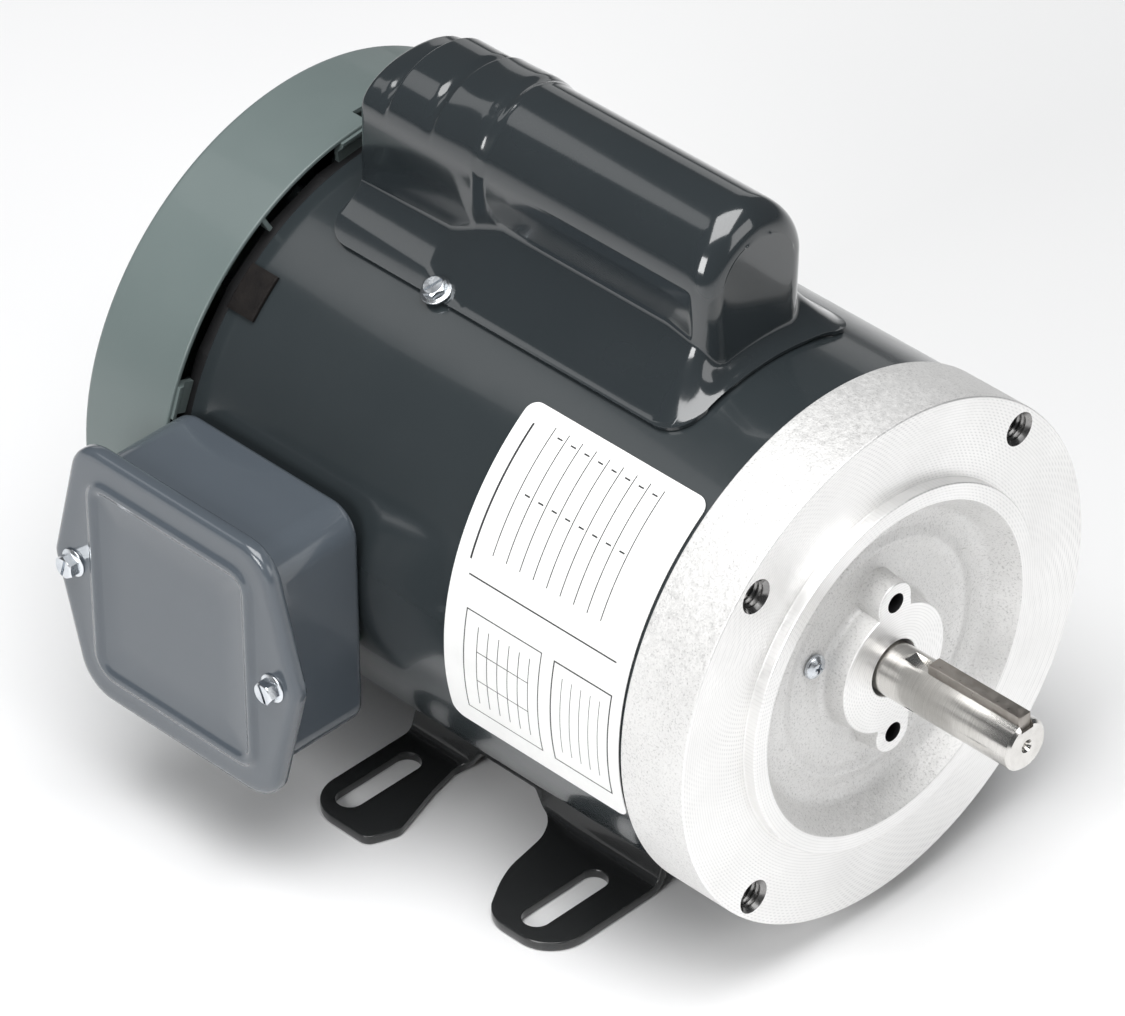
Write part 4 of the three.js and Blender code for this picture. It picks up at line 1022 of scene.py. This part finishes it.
def conduit_box():
    loops = []
    for y, inset, radius in (
        (BOX_BACK, 3.2, 7), (BOX_BACK - 0.1, 2.3, 7.8), (BOX_BACK - 0.5, 1.2, 8.8),
        (BOX_BACK - 1.2, 0.45, 9.5), (BOX_BACK - 2.2, 0.08, 9.9), (BOX_BACK - 3, 0, 10),
        (BOX_BACK - 20, 0, 10), (BOX_RIM + 0.4, 0, 10), (BOX_RIM, 0, 10),
    ):
        outline = round_rect(BOX_X, BOX_Z, BOX_HALF_W - inset, BOX_HALF_H - inset, radius, 12)
        loops.append([(x, y, z) for x, z in outline])
    walls = rings("conduit_box_fine", loops, cap=False, smooth_angle=60)
    close_back(walls)
    thicken(walls, BOX_SHEET, 45)
    lead_hole = [(76, 0), (76, 9), (84, 9), (84, 0)]
    conduit_hole = [(30, 0), (30, 11.1), (45, 11.1), (45, 0)]
    boolean(walls, [
        spun("lead_hole", lead_hole, (BOX_X, 0, 0), (0, -1, 0), 40),
        spun("conduit_hole", conduit_hole, (BOX_X, -98.5, BOX_Z), (0, 0, -1), 48),
    ], smooth_angle=45)
    flange = slab("flange", eared(2), "y", BOX_RIM, BOX_RIM + 1.4)
    window = round_rect(BOX_X, BOX_Z, BOX_HALF_W - 0.5, BOX_HALF_H - 0.5, 9.6)
    boolean(flange, [slab("window", window, "y", BOX_RIM - 1, BOX_RIM + 3)])
    boolean(walls, [flange], "UNION", 45)
    finish(walls, "conduit_box", "box_paint")


# ---------------------------------------------------------------- base

FOOT_Z = -87.4           # middle of the plate's thickness in the feet
FOOT_EDGE = 84.0
SLOT_CENTRES = (-65.05, -141.25)
SLOT_ENDS = (50.5, 73.3)
SLOT_R = 4.365
PLATE_HALF = 1.5


def base_path():
    """Section of the plate's mid-surface across the motor: (distance along, y, z, normal y, normal z)."""
    middle = BODY_R + 0.4 + PLATE_HALF
    edge = math.asin(29.5 / middle)
    points = []
    for k in range(60):
        a = edge * k / 59
        points.append((middle * math.sin(a), -middle * math.cos(a)))
    bend = fillet([
        points[-1], (34.6, -75.7, 3.2), (38.6, FOOT_Z, 4.6), (FOOT_EDGE, FOOT_Z),
    ], closed=False, turn=6)
    points += bend[1:-1]
    while points[-1][0] < FOOT_EDGE:
        points.append((points[-1][0] + 0.8, FOOT_Z))
    out = []
    run = 0.0
    for i, (y, z) in enumerate(points):
        if i:
            run += math.hypot(y - points[i - 1][0], z - points[i - 1][1])
        before = points[max(i - 1, 0)]
        after = points[min(i + 1, len(points) - 1)]
        ty, tz = after[0] - before[0], after[1] - before[1]
        size = math.hypot(ty, tz)
        out.append((run, y, z, -tz / size, ty / size))
    return out


BASE_PATH = base_path()


def along(y):
    """Distance along the plate for a plan position y, before bending."""
    y = abs(y)
    for a, b in zip(BASE_PATH, BASE_PATH[1:]):
        if y <= b[1] and b[1] > a[1]:
            return a[0] + (b[0] - a[0]) * (y - a[1]) / (b[1] - a[1])
    return BASE_PATH[-1][0] + y - BASE_PATH[-1][1]


def bent(x, s, t):
    """A point of the flat plate, s across and t up, moved to where the pressing puts it."""
    side = 1 if s >= 0 else -1
    s = abs(s)
    a = BASE_PATH[0]
    b = BASE_PATH[-1]
    for first, second in zip(BASE_PATH, BASE_PATH[1:]):
        if s <= second[0]:
            a, b = first, second
            break
    f = (s - a[0]) / max(b[0] - a[0], 1e-9)
    y = a[1] + (b[1] - a[1]) * f
    z = a[2] + (b[2] - a[2]) * f
    ny = a[3] + (b[3] - a[3]) * min(f, 1)
    nz = a[4] + (b[4] - a[4]) * min(f, 1)
    if s > BASE_PATH[-1][0]:
        y, z = BASE_PATH[-1][1] + s - BASE_PATH[-1][0], FOOT_Z
    inward = max(0.0, -84.2 - x) if x > -103 else 0.0
    z += 0.28 * inward * ease((y - 36.5) / 9) * min(1, inward / 1.2)
    return x, side * (y + ny * t), z + nz * t


def slot_outline(x, ends):
    """A slot with round ends, along the plate between two distances from its middle."""
    shape = []
    for centre, begin in ((max(ends), 0), (min(ends), 180)):
        for k in range(17):
            dx, dy = polar(SLOT_R, begin + 180 * k / 16)
            shape.append((x + dx, centre + dy))
    return shape


def base():
    half = fillet([
        (-50, 0), (-50, 82.4, 15), (-76, 82.4, 11), (-85.5, 66.5, 30), (-88.4, 46, 20), (-94.6, 38.8, 7),
        (-101, 36.4, 5), (-124, 36.4, 3), (-129.8, 40.6, 5), (-126.8, 54, 12), (-120.6, 73, 5),
        (-124.6, 83, 4), (-151, 83, 12), (-151, 0),
    ], closed=False, turn=7)
    half = [(x, along(y)) for x, y in half]
    outline = half + [(x, -s) for x, s in reversed(half[1:-1])]
    plate = slab("motor_base_fine", outline, "z", -PLATE_HALF, PLATE_HALF)
    cutters = []
    for side in (-1, 1):
        for x in SLOT_CENTRES:
            shape = slot_outline(x, [side * along(end) for end in SLOT_ENDS])
            cutters.append(slab(f"slot{side}{x}", shape, "z", -4, 4))
    boolean(plate, [merged(cutters, "slots")])
    bevel(plate, 0.35, 50)
    work = bmesh.new()
    work.from_mesh(plate.data)
    reach = BASE_PATH[-1][0]
    for direction, low, high, pitch in (((0, 1, 0), -reach, reach, 1.5), ((1, 0, 0), -153, -48, 2.5)):
        value = low
        while value < high:
            place = at(value, value, 0)
            spot = Vector((place.x if direction[0] else 0, place.y if direction[1] else 0, 0))
            geometry = work.verts[:] + work.edges[:] + work.faces[:]
            bmesh.ops.bisect_plane(work, geom=geometry, plane_co=spot, plane_no=direction)
            value += pitch
    bmesh.ops.triangulate(work, faces=[f for f in work.faces if len(f.verts) > 4])
    for vert in work.verts:
        x, s, t = vert.co.x * 1000 - FACE, vert.co.y * 1000, vert.co.z * 1000
        vert.co = at(*bent(x, s, t))
    work.to_mesh(plate.data)
    work.free()
    tidy(plate, 50)
    finish(plate, "motor_base", "black_paint", weighted=False)


# ---------------------------------------------------------------- nameplate

PLATE_REAR, PLATE_FRONT = -93.0, -25.0
PLATE_TOP, PLATE_BOTTOM = 56.5, -18.0    # degrees above the shaft's height, on the near side
PLATE_CORNER = 4.0


def label_marks():
    """Blank rules and boxes, as (u0, v0, u1, v1): u in mm from the shaft end of the plate, v down it."""
    marks = []
    for k in range(9):
        marks.append((14 + k * 5.2, 4, 14.35 + k * 5.2, 44))
    for k in range(8):
        marks.append((15.2 + k * 5.2, 6, 17.2 + k * 5.2, 6.5))
        marks.append((15.2 + k * 5.2, 24, 17.2 + k * 5.2, 24.5))
    marks += [(4, 62, 4.5, 97), (26, 62, 26.5, 97), (4, 62, 26.5, 62.5), (4, 96.5, 26.5, 97)]
    for k in range(5):
        marks.append((8 + k * 3.6, 66, 8.25 + k * 3.6, 92))
    marks += [(31, 62, 31.4, 97), (60, 62, 60.4, 97), (31, 62, 60.4, 62.4), (31, 96.6, 60.4, 97)]
    for k in range(6):
        marks.append((35 + k * 4, 66, 35.3 + k * 4, 93))
    marks += [(35, 74, 55.3, 74.3), (35, 84, 55.3, 84.3)]
    marks += [(5, 52, 62, 52.5), (62.5, 6, 63.2, 48)]
    return marks


def spread(values):
    """Values in order, without near repeats."""
    values = sorted(values)
    return [v for i, v in enumerate(values) if i == 0 or v - values[i - 1] > 1e-4]


def nameplate():
    radius = BODY_R + 0.62
    length = math.radians(PLATE_TOP - PLATE_BOTTOM) * radius
    span = PLATE_FRONT - PLATE_REAR
    marks = label_marks()
    us = {0.0, span}
    vs = {0.0, length} | {length * k / 60 for k in range(1, 60)}
    for u0, v0, u1, v1 in marks:
        us |= {u0, u1}
        vs |= {v0, v1}
    for k in range(9):
        cut = PLATE_CORNER * (1 - math.cos(math.pi / 2 * k / 8))
        us |= {cut, span - cut}
    us, vs = spread(us), spread(vs)
    verts = []
    for u in us:
        into = max(0.0, PLATE_CORNER - min(u, span - u))
        limit = PLATE_CORNER - math.sqrt(max(PLATE_CORNER ** 2 - into ** 2, 0))
        for v in vs:
            angle = math.radians(180 - PLATE_TOP) + min(max(v, limit), length - limit) / radius
            verts.append(at(PLATE_FRONT - u, radius * math.cos(angle), radius * math.sin(angle)))
    faces = []
    inks = []
    for i in range(len(us) - 1):
        for j in range(len(vs) - 1):
            a = i * len(vs) + j
            faces.append((a, a + 1, a + len(vs) + 1, a + len(vs)))
            um, vm = (us[i] + us[i + 1]) / 2, (vs[j] + vs[j + 1]) / 2
            inks.append(any(u0 < um < u1 and v0 < vm < v1 for u0, v0, u1, v1 in marks))
    mesh = bpy.data.meshes.new("nameplate_fine")
    mesh.from_pydata([tuple(v) for v in verts], [], faces)
    plate = link("nameplate_fine", mesh)
    mesh.materials.append(M["label_film"])
    mesh.materials.append(M["label_ink"])
    mesh.polygons.foreach_set("material_index", [int(ink) for ink in inks])
    work = bmesh.new()
    work.from_mesh(mesh)
    bmesh.ops.dissolve_degenerate(work, dist=1e-6, edges=work.edges)
    work.normal_update()
    middle = at(-60, 0, 0)
    if sum(f.normal.dot(f.calc_center_median() - middle) for f in work.faces) < 0:
        bmesh.ops.reverse_faces(work, faces=work.faces)
    work.to_mesh(mesh)
    work.free()
    thicken(plate, LABEL_SHEET, 40)
    finish(plate, "nameplate", "label_film", weighted=False)


# ---------------------------------------------------------------- shaft and key

KEYWAY_FLOOR = SHAFT_R - KEY_SIZE / 2
KEYWAY_END = 18


def shaft():
    profile = fillet([
        (-226, 0), (-226, 7.5, 0.5), (-203.4, 7.5), (-203.4, BEARING_SEAT_R), (-185.7, BEARING_SEAT_R),
        (-185.7, 9.5), (-20.4, 9.5), (-20.4, BEARING_SEAT_R), (-6.5, BEARING_SEAT_R), (-6.5, SHAFT_R),
        (SHAFT_END - 0.9, SHAFT_R), (SHAFT_END, 7.0), (SHAFT_END, 0),
    ])
    bar = lathe("shaft_fine", profile, 96)
    half = KEY_SIZE / 2
    cutter_r = 22
    keyway = block("keyway", (KEYWAY_END, -half, KEYWAY_FLOOR), (54, half, 12))
    disc = [(-half, 0), (-half, cutter_r), (half, cutter_r), (half, 0)]
    run_out = spun("run_out", disc, (KEYWAY_END, 0, KEYWAY_FLOOR + cutter_r), (0, 1, 0), 120)
    flat = block("flat", (-221, -9, 6.9), (-208.2, 9, 9))
    centre = [(-6, 0), (-5, 0.8), (-2.2, 0.85), (0.01, 2.1), (1, 2.1), (1, 0)]
    drill = spun("drill", centre, (SHAFT_END, 0, 0), (1, 0, 0), 32)
    boolean(bar, [keyway, run_out, flat, drill])
    finish(bar, "shaft", "ground_steel", "rotor")


def key():
    half = KEY_SIZE / 2 - 0.06
    floor = KEYWAY_FLOOR + 0.05
    piece = block("shaft_key_fine", (KEYWAY_END - 0.5, -half, floor), (51.4, half, floor + KEY_SIZE))
    bevel(piece, 0.25)
    finish(piece, "shaft_key", "key_steel", "rotor")


# ---------------------------------------------------------------- fasteners

HEX_SHANK_R = 2.0


def hex_screw(node, seat, out, flats, head, washer_r, turn, slot_turn, shank):
    """Slotted hex-washer head with a dished washer, chamfered hex and a rolled shank."""
    out = Vector(out).normalized()
    seat = Vector(seat)
    washer = fillet([
        (-0.02, 0), (-0.02, washer_r, 0.15), (0.5, washer_r, 0.25), (0.95, washer_r * 0.78, 0.3),
        (0.95, 0),
    ], closed=False)
    body = spun(f"{node}_fine", washer, seat, out, 48)
    corner = flats / math.sqrt(3)
    hexagon = spun("hex", [(0.5, 0), (0.5, corner), (head, corner), (head, 0)], seat, out, 6, turn)
    chamfer = fillet([
        (-1, 0), (-1, flats), (head - 0.75, flats * 0.62, 0.3), (head, flats * 0.46, 0.4),
        (head - 0.12, 0),
    ], closed=False)
    boolean(hexagon, [spun("cone", chamfer, seat, out, 48)], "INTERSECT")
    shape = [(-shank, 0), (-shank, HEX_SHANK_R * 0.6), (-shank + 1, HEX_SHANK_R)]
    x = -shank + 1
    while x < -0.9:
        shape += [(x + 0.35, HEX_SHANK_R * 0.82), (x + 0.7, HEX_SHANK_R)]
        x += 0.7
    shape += [(0.1, HEX_SHANK_R * 0.9), (0.1, 0)]
    boolean(body, [hexagon, spun("shank", shape, seat, out, 20)], "UNION")
    side = out.orthogonal().normalized()
    way = side * math.cos(slot_turn) + out.cross(side) * math.sin(slot_turn)
    levels = [(height, flats * 0.47, 0.5) for height in (head - 1.25, head + 1)]
    boolean(body, [tapered_bar("slot", seat, out, way, levels)])
    finish(body, node, "zinc_plate")


def pan_screw(node, seat, out, head_r, head_h, shank_r, shank, turn):
    """Cross-recessed pan head on a plain shank."""
    out = Vector(out).normalized()
    seat = Vector(seat)
    shape = fillet([
        (-shank, 0), (-shank, shank_r), (0, shank_r), (0, head_r, 0.3), (head_h * 0.5, head_r, 0.9),
        (head_h, head_r * 0.5, 1.5), (head_h, 0),
    ], closed=False)
    body = spun(f"{node}_fine", shape, seat, out, 40)
    side = out.orthogonal().normalized()
    other = out.cross(side)
    cutters = []
    for angle in (turn, turn + math.pi / 2):
        way = side * math.cos(angle) + other * math.sin(angle)
        levels = [
            (height, head_r * 0.55 * taper, head_r * 0.12)
            for height, taper in ((head_h * 0.45, 0.5), (head_h + 1, 1.0))
        ]
        cutters.append(tapered_bar("recess", seat, out, way, levels))
    boolean(body, cutters)
    finish(body, node, "zinc_plate")


def fasteners():
    for name, side, turn in (("near", 1, 0.35), ("far", -1, 0.9)):
        y, z = polar(1, 90 + side * 25)
        seat = (-141, y * (BODY_R + 2.0), z * (BODY_R + 2.0))
        hex_screw(f"capacitor_cover_screw_{name}", seat, (0, y, z), 6.35, 3.2, 4.7, 0.3, turn, 7)
    for name, side, turn in (("rear", -1, 0.5), ("front", 1, 1.2)):
        seat = (BOX_X + side * 41.1, COVER_FACE - 0.05, BOX_Z)
        hex_screw(f"conduit_cover_screw_{name}", seat, (0, -1, 0), 6.4, 4.3, 4.5, 0.2 * side, turn, 8.8)
    for i, degrees in enumerate(TAB_ANGLES):
        seat = (-205.75, *polar(TAB_SCREW_R, degrees))
        hex_screw(f"fan_cover_screw_{i + 1}", seat, (-1, 0, 0), 6.35, 2.5, 4.4, i * 0.4, i * 0.7, 9)
    pan_screw("face_ground_screw", (-4.75, *GROUND_SCREW), (1, 0, 0), 3.75, 2.3, 1.6, 3.4, 0.5)


# ---------------------------------------------------------------- stage, light and camera

FLOOR_HALF = 6.0
LIGHT_AIM = (0.12, 0, 0)
SOFTBOXES = {            # place, width, height in metres, power in watts
    "overhead": ((0.35, -0.3, 1.6), 1.5, 1.2, 36),
    "near_side": ((0.35, -1.6, 0.75), 0.8, 0.6, 15),
    "rear_left": ((-1.05, -0.53, 1.5), 0.75, 0.45, 1.25),
    "far_side": ((-1.5, 1.7, 0.5), 1.8, 0.7, 2),
    "drive_end": ((1.6, 0.3, 0.8), 0.8, 0.8, 4.5),
}
CAMERA_PLACE = (1118.9, -1237.6, 1320.6)
CAMERA_TARGET = (-113.6, -13.1, 1.0)
CAMERA_ROLL = -0.58


def stage():
    z = FLOOR_Z / 1000 - 0.0002
    corners = [(a * FLOOR_HALF, b * FLOOR_HALF, z) for a, b in ((-1, -1), (1, -1), (1, 1), (-1, 1))]
    mesh = bpy.data.meshes.new("floor")
    mesh.from_pydata(corners, [], [(0, 1, 2, 3)])
    floor = link("floor", mesh)
    material, tree, shader, coords = start("floor_white")
    tone = mix_colour(tree, (0.86, 0.86, 0.86), (0.84, 0.84, 0.845), patches(tree, coords, 3, 2, 0.3, 0.7))
    dress(tree, shader, tone, 0.6)
    mesh.materials.append(material)


def softbox(name, place, width, height, power):
    data = bpy.data.lights.new(name, "AREA")
    data.shape = "RECTANGLE"
    data.size = width
    data.size_y = height
    data.energy = power
    lamp = link(name, data)
    lamp.location = place
    lamp.rotation_euler = (Vector(LIGHT_AIM) - Vector(place)).to_track_quat("-Z", "Y").to_euler()


def lights():
    world = bpy.data.worlds.new("studio")
    bpy.context.scene.world = world
    world.use_nodes = True
    tree = world.node_tree
    backdrop = tree.nodes["Background"]
    backdrop.inputs["Color"].default_value = (1, 1, 1, 1)
    backdrop.inputs["Strength"].default_value = 0.9
    room = tree.nodes.new("ShaderNodeBackground")
    room.inputs["Color"].default_value = (0.94, 0.97, 1, 1)
    room.inputs["Strength"].default_value = 0.1
    path = tree.nodes.new("ShaderNodeLightPath")
    choice = tree.nodes.new("ShaderNodeMixShader")
    tree.links.new(path.outputs["Is Camera Ray"], choice.inputs[0])
    tree.links.new(room.outputs[0], choice.inputs[1])
    tree.links.new(backdrop.outputs[0], choice.inputs[2])
    tree.links.new(choice.outputs[0], tree.nodes["World Output"].inputs["Surface"])
    for name, values in SOFTBOXES.items():
        softbox(name, *values)


def camera():
    data = bpy.data.cameras.new("camera")
    view = link("camera", data)
    place, target = at(*CAMERA_PLACE), at(*CAMERA_TARGET)
    back = (place - target).normalized()
    right = Vector((0, 0, 1)).cross(back).normalized()
    up = back.cross(right)
    roll = math.radians(CAMERA_ROLL)
    across = right * math.cos(roll) + up * math.sin(roll)
    upward = up * math.cos(roll) - right * math.sin(roll)
    turn = Matrix((across, upward, back)).transposed().to_4x4()
    view.matrix_world = Matrix.Translation(place) @ turn
    data.sensor_fit = "HORIZONTAL"
    data.sensor_width = 36
    data.lens = 245.3
    data.clip_start = 0.05
    data.clip_end = 30
    bpy.context.scene.camera = view
    bpy.context.scene.view_settings.view_transform = "Standard"


drive_end_bell()
motor_shell()
fan_cover()
pad()
capacitor_cover()
conduit_cover()
conduit_box()
base()
nameplate()
shaft()
key()
fasteners()
stage()
lights()
camera()
